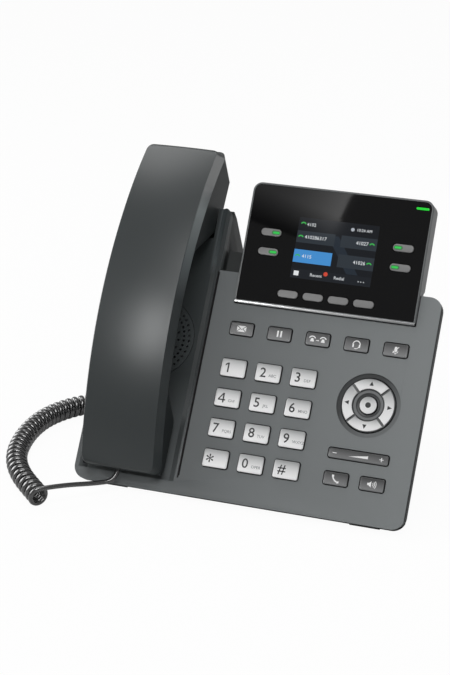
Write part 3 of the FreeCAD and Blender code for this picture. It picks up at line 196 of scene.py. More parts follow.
# paint zones in mm, each one painted light or painted shade: a sum of products of ramps. A ramp names
# its measure, where it leaves 0 and over what width it reaches 1; a negative width runs the other way.
# All keys lie in the key field
keyField = [("across", -28, 1), ("across", 92, -1), ("up", 15, 1), ("up", 113, -1)]
# pale: painted light, the plate growing lighter towards its right, away from the handset's shade
zones = {"pale": [[("across", -30, 125)]],
         # lip: painted shade on the plate's side walls at its right and lower edges, and on its right
         # side
         "lip": [[("out", -0.2, -0.167), ("across", 93, 1)],
                 [("out", -0.2, -0.167), ("up", 13, -1), ("across", -35, 1)],
                 [("across", 100.7, 0.25)]],
         # tray: painted shade of the handset over the cradle's tray, fading out towards the tray's lower
         # end
         "trayShade": [[("across", -35.9, -0.25), ("up", 10, 62)]],
         # foot: painted light that lifts the shade on the plate below the handset's lower end
         "foot": [[("up", 1.5, 4), ("up", 13, -3), ("across", -48, -6), ("across", -92, 6)]],
         # cheek: painted light on the ear seat's cheek, which lies in shade
         "cheek": [[("up", 134, 8), ("cheekSquare", 8.333, -8.333)]],
         # well: painted shade in the rocker's well
         "well": [[("fromNav", 18.95, -0.25)]],
         # painted highlight on the lower right of the rocker's well
         "wellHighlight": [[("fromNav", 18.95, -0.25), ("slant", -10.5, 30)]],
         # groove: painted shade inside the groove beside the cradle
         "groove": [[("grooveSquare", 0.4545, -0.2841), ("up", 9, 1), ("up", 137, -1)]],
         # opening: painted shade on the walls of the key openings and round the rocker
         "openingShade": [[("out", -0.25, -0.2), ("fromNav", 19.1, 1), *keyField],
                     [("out", -1.0, -0.2), *keyField]],
         # hump: painted shade on the rear housing's hump beside the ear seat
         "humpShade": [[("across", -18, -1), ("up", 137, 3)]],
         # ledge: painted light on the ledge under the screen, which lies in the screen's shade
         "ledgeLight": [[("across", -35.7, 0.2), ("across", -18, -1), ("out", -13, 1), ("up", 137, 3)]],
         # side: painted shade on the rear housing's right side
         "side": [[("across", 94, 1)]],
         # strip: painted highlight on the handset's right chamfer, between about 108 and 182 mm up
         "stripHighlight": [[("across", -47.7, 0.5), ("up", 108, 55), ("up", 182, -16)]],
         # dialSkirtShade: painted shade on the sides of the dial keys, rocker pads and select key
         "dialSkirtShade": [[("out", 0.75, -0.167)]],
         # darkSkirtShade: painted shade on the sides of the dark keys
         "darkSkirtShade": [[("out", 0.5, -0.167)]]}


# share of a zone at a place: its ramps multiplied, the products added, held between 0 and 1
def zoneShare(axes, zone):
    products = [math.prod(((measures[name](*axes) - start) / width).clamp()
                          for name, start, width in ramps) for ramps in zone]
    return sum(products).clamp()


# what the finishes have in common; each may give its own instead. The bump's depth is in metres
plastic = {"drift": 0.03, "driftScale": 18.0, "driftShare": 0.7, "grainScale": 2400,
           "roughDrift": 0.08, "bump": 0.06, "bumpDepth": 0.00012, "detail": 2.0, "grainRough": 0.6,
           "specular": 0.5, "metal": 0.0, "coat": 0.0, "coatRough": 0.08}


# moulded plastic: colour drifts softly and may fade to a far colour, which is painted shade on the keys
# and a painted reflection on the sill; a fine spark grain roughens the gloss and the surface, and zones
# of painted light and shade are painted over in turn
def moulded(name, own):
    look = {**plastic, **own}
    finish = Finish(name, {"Specular IOR Level": look["specular"], "Metallic": look["metal"],
                           "Coat Weight": look["coat"], "Coat Roughness": look["coatRough"]})
    drift = finish.noise(look["driftScale"], look["detail"])
    grain = finish.noise(look["grainScale"], look["detail"], look["grainRough"])
    share = drift * look["driftShare"] + grain * (1 - look["driftShare"])
    base = np.array(srgb(*look["colour"]))
    dark, light = base * (1 - look["drift"]), np.minimum(base * (1 + look["drift"]), 1)
    colour = finish.blend(share.clamp(), (*dark, 1), (*light, 1))
    # the fade to the far colour along one axis of the piece's box is painted shade on the keys and a
    # painted reflection on the sill
    if "far" in look:
        share = finish.along("Generated", look["axis"]).clamp() ** look["bend"]
        colour = finish.blend(share, colour, opaque(look["far"]))
    # zones paint light and shade over the colour
    if "zones" in look:
        axes = finish.faceAxes()
        for zone, tint in look["zones"].items():
            colour = finish.blend(zoneShare(axes, zones[zone]), colour, opaque(tint))
    finish.feed("Base Color", colour)
    finish.feed("Roughness", (grain - 0.5) * look["roughDrift"] + look["rough"])
    finish.bump(grain, look["bump"], look["bumpDepth"])
    return finish.material


# shared by mouldings of one kind
housing = {"grainScale": 2600, "roughDrift": 0.1, "bump": 0.16}
receiver = {"grainScale": 3000, "bump": 0.1}
ink = {"grainScale": 2000, "rough": 0.5, "roughDrift": 0.05, "bump": 0.02}
looks = {
    # plateGrey's zones are painted light and shade: lighter to the right, shade on the lip, tray,
    # groove, openings and well, a highlight in the well, light at the handset's foot and the cheek
    "plateGrey": {**housing, "colour": (105, 109, 110), "rough": 0.52, "specular": 0.25,
                  "zones": {"pale": (131, 135, 136), "lip": (36, 38, 39), "trayShade": (51, 56, 57),
                            "foot": (142, 147, 148), "cheek": (92, 99, 101), "well": (58, 60, 61),
                            "wellHighlight": (116, 119, 120), "groove": (10, 10, 11),
                            "openingShade": (16, 16, 17)}},
    # backGrey's zones are painted shade on the hump and the right side, and painted light on the ledge
    # under the screen
    "backGrey": {**housing, "colour": (112, 116, 117), "rough": 0.46, "specular": 0.2,
                 "zones": {"humpShade": (48, 50, 50), "ledgeLight": (72, 74, 74), "side": (40, 42, 43)}},
    "bodyGrey": {**housing, "colour": (112, 116, 117), "rough": 0.46},
    # the pale strip on the handset's right chamfer is a painted highlight
    "handsetCharcoal": {**receiver, "colour": (48, 53, 54), "rough": 0.34,
                        "zones": {"stripHighlight": (136, 143, 144)}},
    "coverCharcoal": {**receiver, "colour": (46, 50, 51), "rough": 0.45, "specular": 0.15},
    "rimGrey": {"colour": (96, 99, 100), "grainScale": 2600, "rough": 0.36, "bump": 0.08},
    # the sill's fade from near white at its left to grey at its right is a painted reflection on a
    # silvery strip
    "sillSilver": {"colour": (246, 247, 248), "far": (150, 151, 152), "axis": "X", "bend": 1.0,
                   "grainScale": 1800, "rough": 0.24, "roughDrift": 0.1, "bump": 0.04, "metal": 0.55},
    "lensBlack": {"colour": (15, 15, 16), "drift": 0.1, "grainScale": 300, "rough": 0.03,
                  "roughDrift": 0.01, "bump": 0.001, "specular": 0.2},
    # keySilver grows darker towards the top of each cap, as painted shade, and its sides carry painted
    # shade
    "keySilver": {"colour": (252, 252, 252), "far": (146, 148, 149), "axis": "Z", "bend": 2.4,
                  "drift": 0.02, "rough": 0.34, "bump": 0.05, "zones": {"dialSkirtShade": (34, 34, 35)}},
    # keyDark grows darker towards the top of each cap, as painted shade, and its sides carry painted
    # shade
    "keyDark": {"colour": (136, 137, 138), "far": (38, 39, 40), "axis": "Z", "bend": 1.1,
                "rough": 0.36, "zones": {"darkSkirtShade": (14, 14, 15)}},
    "carrierGrey": {"colour": (104, 106, 107), "rough": 0.42},
    "carrierDark": {"colour": (62, 63, 64), "rough": 0.4},
    "pillGrey": {"colour": (124, 124, 124), "drift": 0.02, "rough": 0.38, "bump": 0.05},
    # cradleDark on the speaker grille is grey darkened as painted shade, matching the painted shade on
    # the tray
    "cradleDark": {"colour": (60, 65, 66), "grainScale": 2600, "rough": 0.5, "roughDrift": 0.1,
                   "bump": 0.12, "specular": 0.25},
    "gapBlack": {"colour": (20, 21, 22), "drift": 0.05, "grainScale": 2000, "rough": 0.6,
                 "roughDrift": 0.1, "bump": 0.1},
    "cordBlack": {"colour": (30, 30, 31), "drift": 0.05, "grainScale": 1400, "rough": 0.2,
                  "roughDrift": 0.06, "bump": 0.03, "specular": 1.0, "coat": 0.5},
    "rubberBlack": {"colour": (34, 34, 35), "drift": 0.08, "grainScale": 1500, "rough": 0.8,
                    "roughDrift": 0.1, "bump": 0.3},
    "boardGreen": {"colour": (24, 96, 58), "drift": 0.1, "grainScale": 900, "rough": 0.35,
                   "roughDrift": 0.1, "bump": 0.1},
    "steel": {"colour": (186, 187, 190), "drift": 0.05, "grainScale": 2200, "rough": 0.3,
              "roughDrift": 0.12, "metal": 1.0},
    "plugClear": {"colour": (58, 60, 62), "drift": 0.05, "grainScale": 1200, "rough": 0.12,
                  "roughDrift": 0.04, "bump": 0.02, "coat": 0.4},
    "markWhite": {**ink, "colour": (250, 250, 250), "drift": 0.01},
    "markBlack": {**ink, "colour": (22, 23, 25), "drift": 0.05},
    "markGrey": {**ink, "colour": (128, 130, 134), "drift": 0.02}}
finishes = {name: moulded(name, look) for name, look in looks.items()}

glass = {"rough": 0.06, "specular": 0.2, "grainScale": 1500.0, "unlit": (0.006, 0.006, 0.006, 1),
         "unlitShare": 0.3, "shade": (0.01, 0.01, 0.012, 1), "shadeShare": 0.2}


# lit picture or lamp: colours ride on the mesh, and shine a little of their own
def lit(name, strength):
    finish = Finish(name, {"Roughness": glass["rough"], "Specular IOR Level": glass["specular"],
                           "Emission Strength": strength})
    colour = finish.node("Attribute", {"attribute_name": "tint"})
    grain = finish.noise(glass["grainScale"])
    finish.feed("Base Color", finish.blend(grain * glass["unlitShare"], glass["unlit"], colour))
    finish.feed("Emission Color", finish.blend(grain * glass["shadeShare"], colour, glass["shade"]))
    return finish.material


for name, strength in (("picture", 0.95), ("lampGreen", 0.9)):
    finishes[name] = lit(name, strength)
print("finishes", len(finishes))


# vectors of length 1 that point as the given ones do
def unit(ways):
    return ways / np.linalg.norm(ways, axis=-1, keepdims=True)


# an object with its data, linked into the scene
def placed(name, data):
    made = bpy.data.objects.new(name, data)
    scene.collection.objects.link(made)
    return made


# faces of a grid of points, row by row; a closed grid joins its last column to its first
def gridFaces(rows, cols, closed):
    r, c = np.meshgrid(np.arange(rows - 1), np.arange(cols if closed else cols - 1), indexing="ij")
    here, beside = r * cols + c, r * cols + (c + 1) % cols
    return np.stack([here, beside, beside + cols, here + cols], -1).reshape(-1, 4).tolist()


# faces of a grid closed round, and those that fill its first and last rows or the last alone
def tubeFaces(rows, cols, firstOpen=False):
    fills = [] if firstOpen else [list(range(cols))[::-1]]
    return gridFaces(rows, cols, True) + fills + [list(range((rows - 1) * cols, rows * cols))]


# joins a mesh's points that lie within a distance in metres, then takes one more step on it
def reworked(mesh, step, joinWithin=1e-7):
    work = bmesh.new()
    work.from_mesh(mesh)
    bmesh.ops.remove_doubles(work, verts=work.verts, dist=joinWithin)
    step(work)
    work.to_mesh(mesh)
    work.free()


# turns all faces outwards
def turnOut(work):
    bmesh.ops.recalc_face_normals(work, faces=work.faces)


# gives a mesh one finish
def coat(mesh, finish):
    mesh.materials.clear()
    mesh.materials.append(finishes[finish])


# a piece from a named mesh; edges that bend by more than the sharp angle stay crisp
def meshPiece(mesh, finish, body, sharp, replaces):
    mesh.shade_smooth()
    mesh.set_sharp_from_angle(angle=np.radians(sharp))
    coat(mesh, finish)
    piece = placed(mesh.name, mesh)
    if replaces:
        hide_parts(*replaces)
    if body:
        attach(piece, body)
    return piece


# a piece from points and faces, which may need turning out
def makePiece(name, points, faces, finish, body, sharp=40, replaces=(), turned=False):
    mesh = bpy.data.meshes.new(name)
    mesh.from_pydata(np.asarray(points).reshape(-1, 3).tolist(), [], faces)
    mesh.validate()
    mesh.update()
    if turned:
        reworked(mesh, turnOut)
    return meshPiece(mesh, finish, body, sharp, replaces)


# rounded rectangle: straight sides in even steps, quarter circles at the corners, anticlockwise
def roundedOutline(halfWide, halfTall, corner, arc=6, side=5):
    turn = np.linspace(0, np.pi / 2, arc)
    parts = []
    for quarter, (sx, sy) in enumerate(((1, 1), (-1, 1), (-1, -1), (1, -1))):
        a = turn + quarter * np.pi / 2
        parts.append(np.stack([sx * (halfWide - corner) + corner * np.cos(a),
                               sy * (halfTall - corner) + corner * np.sin(a)], -1))
    whole = []
    for here, after in zip(parts, parts[1:] + parts[:1]):
        run = np.linspace(0, 1, side + 1)[1:-1, None]
        whole += [here, here[-1] * (1 - run) + after[0] * run]
    return np.concatenate(whole)


cap = {"filletSteps": 5, "leastCorner": 0.25, "crownRings": (0.86, 0.7, 0.5, 0.28, 0.08), "sharp": 50}


# key cap: a rounded outline rises straight, turns over a small fillet and crowns to the middle
def capGrid(look):
    wide, tall, fillet = look["wide"] / 2, look["tall"] / 2, look["fillet"]
    a = np.linspace(0, np.pi / 2, cap["filletSteps"])
    inset = np.concatenate([[0, 0], fillet * (1 - np.cos(a))])
    drop = np.concatenate([[look["skirt"], fillet], fillet * (1 - np.sin(a)),
                           np.zeros(len(cap["crownRings"]))])
    rings = [roundedOutline(wide - d, tall - d, max(look["corner"] - d, cap["leastCorner"]))
             for d in inset]
    rings = np.stack(rings + [rings[-1] * share for share in cap["crownRings"]])
    return rings, look["height"](rings[..., 0], rings[..., 1]) - drop[:, None]


# places about a seat, which is a frame's function with a place across and up in it
def seated(seat, x, y, out):
    toRow, across, up = seat
    return toRow(across + x, up + y, out)


# a key cap in its seat
def capPiece(name, node, look, seat, body=None):
    rings, levels = capGrid(look)
    points = seated(seat, rings[..., 0], rings[..., 1], levels)
    return makePiece(name, points, tubeFaces(*levels.shape, True), look["finish"], body or node,
                     cap["sharp"], (node,))


# points at even angles, in degrees, on a circle
def arcPoints(cx, cy, radius, start, end, count=14):
    a = np.radians(np.linspace(start, end, count))
    return np.stack([cx + radius * np.cos(a), cy + radius * np.sin(a)], -1)


# ribbon: a line carried sideways by half its width on both sides
def ribbon(line, width):
    line = np.asarray(line, float)
    along = np.gradient(line, axis=0)
    side = unit(np.stack([-along[:, 1], along[:, 0]], -1)) * width / 2
    return np.concatenate([line + side, (line - side)[::-1]])


# upright rectangle between two opposite corners
def bar(x0, y0, x1, y1):
    return np.array([(x0, y0), (x1, y0), (x1, y1), (x0, y1)], float)


# points and faces of the mesh that a curve makes; the curve itself is dropped
def curveMesh(curve):
    holder = placed(curve.name, curve)
    shown = holder.evaluated_get(bpy.context.evaluated_depsgraph_get())
    mesh = bpy.data.meshes.new_from_object(shown)
    spots = np.zeros(len(mesh.vertices) * 3)
    mesh.vertices.foreach_get("co", spots)
    faces = [list(polygon.vertices) for polygon in mesh.polygons]
    bpy.data.objects.remove(holder)
    bpy.data.curves.remove(curve)
    bpy.data.meshes.remove(mesh)
    return spots.reshape(-1, 3), faces


# text as flat faces about a place, its strokes made bolder by the weight
def lettering(text, size, x, y, align="CENTER", weight=0.0, steps=3):
    curve = bpy.data.curves.new("lettering", "FONT")
    curve.body, curve.size, curve.align_x, curve.align_y = text, size, align, "CENTER"
    curve.offset, curve.resolution_u = weight, steps
    spots, faces = curveMesh(curve)
    return spots[:, :2] + (x, y), faces


# finish and slot of each ink
inks = {"black": ("markBlack", "dark_key"), "white": ("markWhite", "dial_key"),
        "grey": ("markGrey", "pill_key"), "lamp": ("lampGreen", "lamp"),
        "picture": ("picture", "display")}


# marks: flat shapes laid a hair above the surface that carries them
def markPiece(name, shapes, ink, body, seat, height, hair=0.035):
    points, faces, count = [], [], 0
    for shape in shapes:
        spots, cells = shape if isinstance(shape, tuple) else (shape, [list(range(len(shape)))])
        points.append(spots)
        faces += [[count + index for index in cell] for cell in cells]
        count += len(spots)
    x, y = np.concatenate(points).T
    finish, slot = inks[ink]
    return makePiece(name, seated(seat, x, y, height(x, y) + hair), faces, finish, body)


# distances in metres, angles in degrees
copies = {"joinWithin": 2e-6, "flatWithin": 0.6, "sharp": 28, "bevelFrom": 35, "segments": 2}


# joins faces that lie in one plane
def makeWhole(work):
    bmesh.ops.dissolve_limit(work, angle_limit=np.radians(copies["flatWithin"]), verts=work.verts,
                             edges=work.edges)


# copy of a moulded CAD shell with its flat faces made whole and its small edges broken
def shellCopy(node, finish, body, slot, edge):
    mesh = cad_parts[node].data.copy()
    mesh.name = node + "Shell"
    reworked(mesh, makeWhole, copies["joinWithin"])
    piece = meshPiece(mesh, finish, body, copies["sharp"], (node,))
    if edge:
        bevel = piece.modifiers.new("brokenEdges", "BEVEL")
        bevel.width, bevel.segments, bevel.limit_method = edge, copies["segments"], "ANGLE"
        bevel.angle_limit = np.radians(copies["bevelFrom"])
        bevel.use_clamp_overlap, bevel.harden_normals = True, True
        bevel.miter_outer = "MITER_ARC"


# finish, body, slot and the width of the broken edge in metres
shells = {"front_housing": ("plateGrey", "base", "body_plastic", 0.0002),
          "rear_housing": ("backGrey", "base", "body_plastic", 0.0),
          "stand": ("bodyGrey", "base", "body_plastic", 0.0006),
          "screen_housing": ("rimGrey", "base", "rim_plastic", 0.0003),
          "handset_cover": ("coverCharcoal", "handset", "handset_plastic", 0.0),
          "nav_carrier": ("carrierGrey", "nav_carrier", "dark_key", 0.0002),
          "screen_lens": ("lensBlack", "base", "lens", 0.0),
          "speaker_grille": ("cradleDark", "base", "handset_plastic", 0.0)}
for node, settings in shells.items():
    shellCopy(node, *settings)

# nodes that keep their CAD form, by finish
plain = {"gapBlack": ("network_sockets", "modular_sockets", "power_jack", "display_module",
                      "hook_plunger", "ear_capsule", "microphone", "handset_socket"),
         "steel": ("housing_screws", "loudspeaker", "handset_weight"),
         "rubberBlack": ("keypad_membrane", "rubber_feet"), "boardGreen": ("main_board",),
         "plugClear": ("handset_plug", "base_plug"), "carrierGrey": ("nav_ring",)}
for finish, nodes in plain.items():
    for node in nodes:
        coat(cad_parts[node].data, finish)
print("shells", len(shells), "plain nodes", sum(map(len, plain.values())))

# an end's first number is its place up the face, its second how far it moves over the slant's height
handset = {"half": 25.4, "topHalf": 22.4, "drop": 8.0, "crown": 230.0, "corner": 5.0, "lip": 2.0,
           "lowEnd": (9.0, -1.2), "highEnd": (210.7, -4.0), "slantFrom": -20.0, "slantTall": 44.0,
           "endReach": 98.0, "endShare": 0.03, "bodyFrom": 0.04, "endRows": 14, "bodyRows": 90,
           "crownCols": 25, "sideCols": 7, "sharp": 24}


# section: a wide crown between two sloped sides, as across and distance from the arch's middle
def handsetSection():
    x = np.linspace(-handset["topHalf"], handset["topHalf"], handset["crownCols"])
    level = stance["arch"] - handset["crown"] + np.sqrt(handset["crown"] ** 2 - x ** 2)
    crown = np.stack([x, level], -1)
    foot = np.array([-handset["half"], stance["arch"] - handset["drop"]])
    side = np.linspace(0, 1, handset["sideCols"])[:, None]
    left = foot * (1 - side) + crown[0] * side
    return np.concatenate([left[:-1], crown, (left * (-1, 1))[::-1][1:]])


# how far a quarter circle stands back from its straight edge, near that edge's end
def standBack(near, radius):
    return radius - np.sqrt(np.maximum(radius ** 2 - np.maximum(radius - near, 0) ** 2, 0))


# shell: the section carried along the arch between slanted ends, where its sides and crown round off
def handsetShell():
    x, r = handsetSection().T
    ease = handset["endShare"] * (1 - np.cos(np.linspace(0, np.pi / 2, handset["endRows"])))
    body = np.linspace(handset["bodyFrom"], 1 - handset["bodyFrom"], handset["bodyRows"])
    share = np.concatenate([ease, body, 1 - ease[::-1]])[:, None]
    below = stance["arch"] - stance["archOut"]
    endOut = np.sqrt(r ** 2 - handset["endReach"] ** 2) - below
    slant = (endOut - handset["slantFrom"]) / handset["slantTall"]
    low, high = (start + lean * slant for start, lean in (handset["lowEnd"], handset["highEnd"]))
    up = low + (high - low) * share
    near = np.minimum(up - low, high - up)
    pull, sink = standBack(near, handset["corner"]), standBack(near, handset["lip"])
    across = stance["handsetAcross"] + x * (1 - pull / handset["half"])
    radius = r - sink * np.clip((r - r.min()) / handset["drop"], 0, 1)
    out = np.sqrt(radius ** 2 - (up - stance["archUp"]) ** 2) - below
    makePiece("handsetShell", faceToRow(across, up, out), tubeFaces(*up.shape), "handsetCharcoal",
              "handset", handset["sharp"], ("handset_shell",), True)


handsetShell()
print("handset")

# dial keys: three columns and four rows of dished caps. Digits stand left of the middle, some moved a
# little; two are drawn because the font's own would fill in
dial = {"finish": "keySilver", "slot": "dial_key", "wide": 15.1, "tall": 10.5, "corner": 1.15,
        "fillet": 0.42, "skirt": 3.0, "left": -15.35, "pitch": 21.58, "low": 24.1, "rise": 18.27,
        "columns": 3, "rows": 4,
        "digitSize": {"*": 11}, "usualSize": 8, "digitWeight": 0.08, "usualAt": (-3.3, -0.3),
        "digitAt": {"*": (-3.4, -2.4), "#": (-2.5, -0.1), "7": (-3.6, -0.5), "2": (-3.0, -0.4),
                    "8": (-3.0, -0.2)},
        "lettersSize": 2.4, "lettersAt": (0.6, -1.6), "lettersWeight": 0.01,
        "height": lambda x, y: 1.42 + 0.0045 * y ** 2 - 0.0006 * x ** 2}
dialKeys = [("one", "1", ""), ("two", "2", "ABC"), ("three", "3", "DEF"), ("four", "4", "GHI"),
            ("five", "5", "JKL"), ("six", "6", "MNO"), ("seven", "7", "PQRS"), ("eight", "8", "TUV"),
            ("nine", "9", "WXYZ"), ("star", "*", ""), ("zero", "0", "OPER"), ("hash", "#", "")]
drawnDigits = {"1": [bar(-3.5, -3.0, -2.6, 2.8),
                     [(-3.5, 2.8), (-5.0, 1.8), (-5.0, 0.9), (-3.5, 1.7)]],
               "4": [bar(-2.8, -3.1, -1.9, 2.7), bar(-5.6, -1.8, -1.1, -1.0),
                     [(-5.6, -1.0), (-4.7, -1.0), (-1.9, 2.7), (-2.9, 2.7)]]}
for index, (word, digit, letters) in enumerate(dialKeys):
    row, column = divmod(index, dial["columns"])
    seat = (faceToRow, dial["left"] + column * dial["pitch"],
            dial["low"] + (dial["rows"] - 1 - row) * dial["rise"])
    node = "dial_key_" + word
    capPiece("dialCap_" + word, node, dial, seat)
    if digit in drawnDigits:
        shapes = drawnDigits[digit]
    else:
        shapes = [lettering(digit, dial["digitSize"].get(digit, dial["usualSize"]),
                            *dial["digitAt"].get(digit, dial["usualAt"]), weight=dial["digitWeight"])]
    markPiece("dialDigit_" + word, shapes, "black", node, seat, dial["height"])
    if letters:
        shapes = [lettering(letters, dial["lettersSize"], *dial["lettersAt"], "LEFT",
                            dial["lettersWeight"])]
        markPiece("dialLetters_" + word, shapes, "grey", node, seat, dial["height"])
print("dial keys", len(dialKeys))


# icon of a desk telephone: a bowed receiver over a base
def deskPhone(cx):
    return [ribbon(arcPoints(cx, -0.4, 1.75, 25, 155), 0.55), bar(cx - 1.0, -1.5, cx + 1.0, -1.0),
            [(cx - 1.0, -1.0), (cx + 1.0, -1.0), (cx + 0.5, 0.3), (cx - 0.5, 0.3)]]


# icons in mm about the middle of their key
icons = {
    "message_key": [[(-2.5, 1.25), (-2.5, -1.25), (-0.9, 0.1)],
                    [(2.5, 1.25), (0.9, 0.1), (2.5, -1.25)],
                    [(-2.2, 1.6), (0, -0.2), (2.2, 1.6)],
                    [(-2.2, -1.6), (-0.6, -0.15), (0, -0.6), (0.6, -0.15), (2.2, -1.6)]],
    "hold_key": [bar(-1.35, -1.7, -0.45, 1.7), bar(0.45, -1.7, 1.35, 1.7)],
    "transfer_key": [*deskPhone(-2.9), *deskPhone(2.9), bar(-0.8, -0.85, 0.35, -0.5),
                     [(0.3, -1.1), (0.9, -0.68), (0.3, -0.25)]],
    "headset_key": [ribbon(arcPoints(0, 0.1, 1.9, -35, 215), 0.5), bar(-2.1, -1.5, -1.3, 0.1),
                    bar(1.3, -1.5, 2.1, 0.1), ribbon(arcPoints(-0.2, -0.6, 1.6, 270, 340), 0.35),
                    bar(-0.8, -2.4, 0.1, -1.95)],
    "mute_key": [np.concatenate([arcPoints(0, 1.0, 0.75, 0, 180), arcPoints(0, -0.3, 0.75, 180, 360)]),
                 ribbon(arcPoints(0, -0.3, 1.35, 190, 350), 0.35), bar(-0.18, -2.3, 0.18, -1.6),
                 ribbon([(-1.5, -1.5), (0, 0.1), (1.5, 1.7)], 0.4)],
    "call_key": [ribbon([(-1.7, 1.5), (-1.35, 0.2), (-0.4, -1.0), (0.9, -1.7), (1.6, -1.8)], 0.75),
                 bar(-2.1, 0.9, -1.0, 1.9),
                 [(0.9, -2.3), (1.9, -2.1), (1.8, -1.1), (0.9, -1.3)]],
    "speaker_key": [[(-2.4, -0.6), (-1.6, -0.6), (-0.4, -1.6), (-0.4, 1.6), (-1.6, 0.6), (-2.4, 0.6)],
                    ribbon(arcPoints(-0.5, 0, 1.1, -45, 45), 0.35),
                    ribbon(arcPoints(-0.5, 0, 1.9, -45, 45), 0.35),
                    ribbon(arcPoints(-0.5, 0, 2.7, -42, 42), 0.35)]}
small = {"finish": "keyDark", "slot": "dark_key", "wide": 14.3, "corner": 1.0, "fillet": 0.5,
         "skirt": 2.6, "iconScale": 1.13, "height": lambda x, y: 0.85 + 0.006 * y ** 2}
smallRows = [{"left": -15.1, "pitch": 23.51, "up": 103.0, "tall": 7.8,
              "nodes": ("message_key", "hold_key", "transfer_key", "headset_key", "mute_key")},
             {"left": 57.7, "pitch": 21.5, "up": 23.6, "tall": 7.6,
              "nodes": ("call_key", "speaker_key")}]
for row in smallRows:
    for index, node in enumerate(row["nodes"]):
        seat = (faceToRow, row["left"] + index * row["pitch"], row["up"])
        capPiece(node + "Cap", node, {**small, "tall": row["tall"]}, seat)
        shapes = [np.asarray(shape) * small["iconScale"] for shape in icons[node]]
        markPiece(node + "Mark", shapes, "white", node, seat, small["height"])

volume = {"finish": "keyDark", "slot": "dark_key", "wide": 35.6, "tall": 5.8, "corner": 1.2,
          "fillet": 0.5, "skirt": 2.8, "across": 68.4, "up": 38.4,
          "height": lambda x, y: 0.9 - 0.005 * y ** 2,
          "marks": [bar(-15.2, -0.2, -12.8, 0.2), [(-5.8, -0.85), (5.8, -0.85), (5.8, 0.85)],
                    bar(12.6, -0.2, 15.0, 0.2), bar(13.6, -1.2, 14.0, 1.2)]}
seat = (faceToRow, volume["across"], volume["up"])
capPiece("volumeCap", "volume_rocker", volume, seat, "volume")
markPiece("volumeMarks", volume["marks"], "white", "volume", seat, volume["height"])

nav = {"inner": 9.5, "outer": 15.5, "gap": 1.5, "top": 1.12, "foot": 0.12, "fillet": 0.35,
       "sideDrop": 0.12, "sideFillet": 0.21, "sideShare": 0.96, "rings": 6, "spokes": 24, "sharp": 45,
       "arrow": np.array([(1.5, 0), (-1.1, 1.25), (-1.1, -1.25)]), "arrowAt": 12.6,
       "height": lambda x, y: np.full_like(x, nav["top"])}
navSeat = (faceToRow, stance["navAcross"], stance["navUp"])


# a run of one value, with a step and then a foot at both ends
def stepped(count, top, step, foot):
    return np.pad(np.pad(np.full(count, top), 1, constant_values=step), 1, constant_values=foot)


# pad on the rocker: a quarter of a ring with straight gaps on the diagonals and eased edges
def navPad(index):
    inner, outer, top, fillet = nav["inner"], nav["outer"], nav["top"], nav["fillet"]
    radii = np.linspace(inner + fillet, outer - fillet, nav["rings"])
    radii = np.pad(radii, 2, constant_values=(inner, outer))[:, None]
    level = stepped(nav["rings"], top, top - fillet, nav["foot"])[:, None]
    share = np.linspace(-nav["sideShare"], nav["sideShare"], nav["spokes"])
    share = np.pad(share, 2, constant_values=(-1, 1))
    edge = stepped(nav["spokes"], 0.0, nav["sideFillet"], nav["sideDrop"])
    a = np.radians(90 * index) + share * (np.pi / 4 - np.arcsin(nav["gap"] / 2 / radii))
    x, y = radii * np.cos(a), radii * np.sin(a)
    points = seated(navSeat, x, y, np.minimum(level, top - edge))
    makePiece(f"navPad_{index}", points, gridFaces(*x.shape, False), "keySilver", "nav_ring",
              nav["sharp"], turned=True)


for index in range(4):
    navPad(index)
    a = np.radians(90 * index)
    quarterTurn = np.array([(np.cos(a), np.sin(a)), (-np.sin(a), np.cos(a))])
    arrow = (nav["arrow"] + (nav["arrowAt"], 0)) @ quarterTurn
    markPiece(f"navArrow_{index}", [arrow], "black", "nav_ring", navSeat, nav["height"])

select = {"finish": "keySilver", "slot": "dial_key", "wide": 10.5, "tall": 10.5, "corner": 5.2,
          "fillet": 0.6, "skirt": 2.6,
          "dot": arcPoints(0, 0, 1.65, 0, 345, 24),
          "height": lambda x, y: 1.15 - 0.0125 * (x ** 2 + y ** 2)}
capPiece("selectCap", "select_key", select, navSeat)
markPiece("selectDot", [select["dot"]], "black", "select_key", navSeat, select["height"])

# collar: a shallow dish between the select key and the rocker
collar = {"inner": 5.75, "outer": 7.35, "low": -0.5, "high": 0.1, "rows": 6, "cols": 64}
t = np.linspace(0, 1, collar["rows"])[:, None]
a = np.linspace(0, 2 * np.pi, collar["cols"], endpoint=False)[None, :]
r = collar["inner"] + (collar["outer"] - collar["inner"]) * t
collarPoints = seated(navSeat, r * np.cos(a), r * np.sin(a),
                      collar["low"] + (collar["high"] - collar["low"]) * t ** 2)
makePiece("selectCollar", collarPoints, gridFaces(collar["rows"], collar["cols"], True), "carrierDark",
          "nav_carrier", turned=True)
print("rockers and function keys")


# each face's own colour, for the lit finishes
def tinted(piece, colours):
    layer = piece.data.attributes.new("tint", "FLOAT_COLOR", "CORNER")
    counts = np.array([len(polygon.vertices) for polygon in piece.data.polygons])
    shades = np.repeat(np.c_[colours, np.ones(len(colours))], counts, axis=0)
    layer.data.foreach_set("color", shades.ravel())


# one colour all over
def tintedWhole(piece, colour):
    tinted(piece, np.tile(srgb(*colour), (len(piece.data.polygons), 1)))


# pill keys round the display: four soft keys under it, and two line keys on each side, each with a
# lamp at its inner end
pill = {"finish": "pillGrey", "slot": "pill_key", "wide": 12.4, "tall": 4.4, "corner": 2.1,
        "fillet": 0.35, "skirt": 1.2, "count": 4, "softUp": 8.6, "softPitch": 15.45,
        "softAcross": -0.05, "middle": 0.75, "lineAcross": 40.4, "lineLow": 32.5, "lineRise": 11.8,
        "height": lambda x, y: 0.25 - 0.012 * y ** 2}
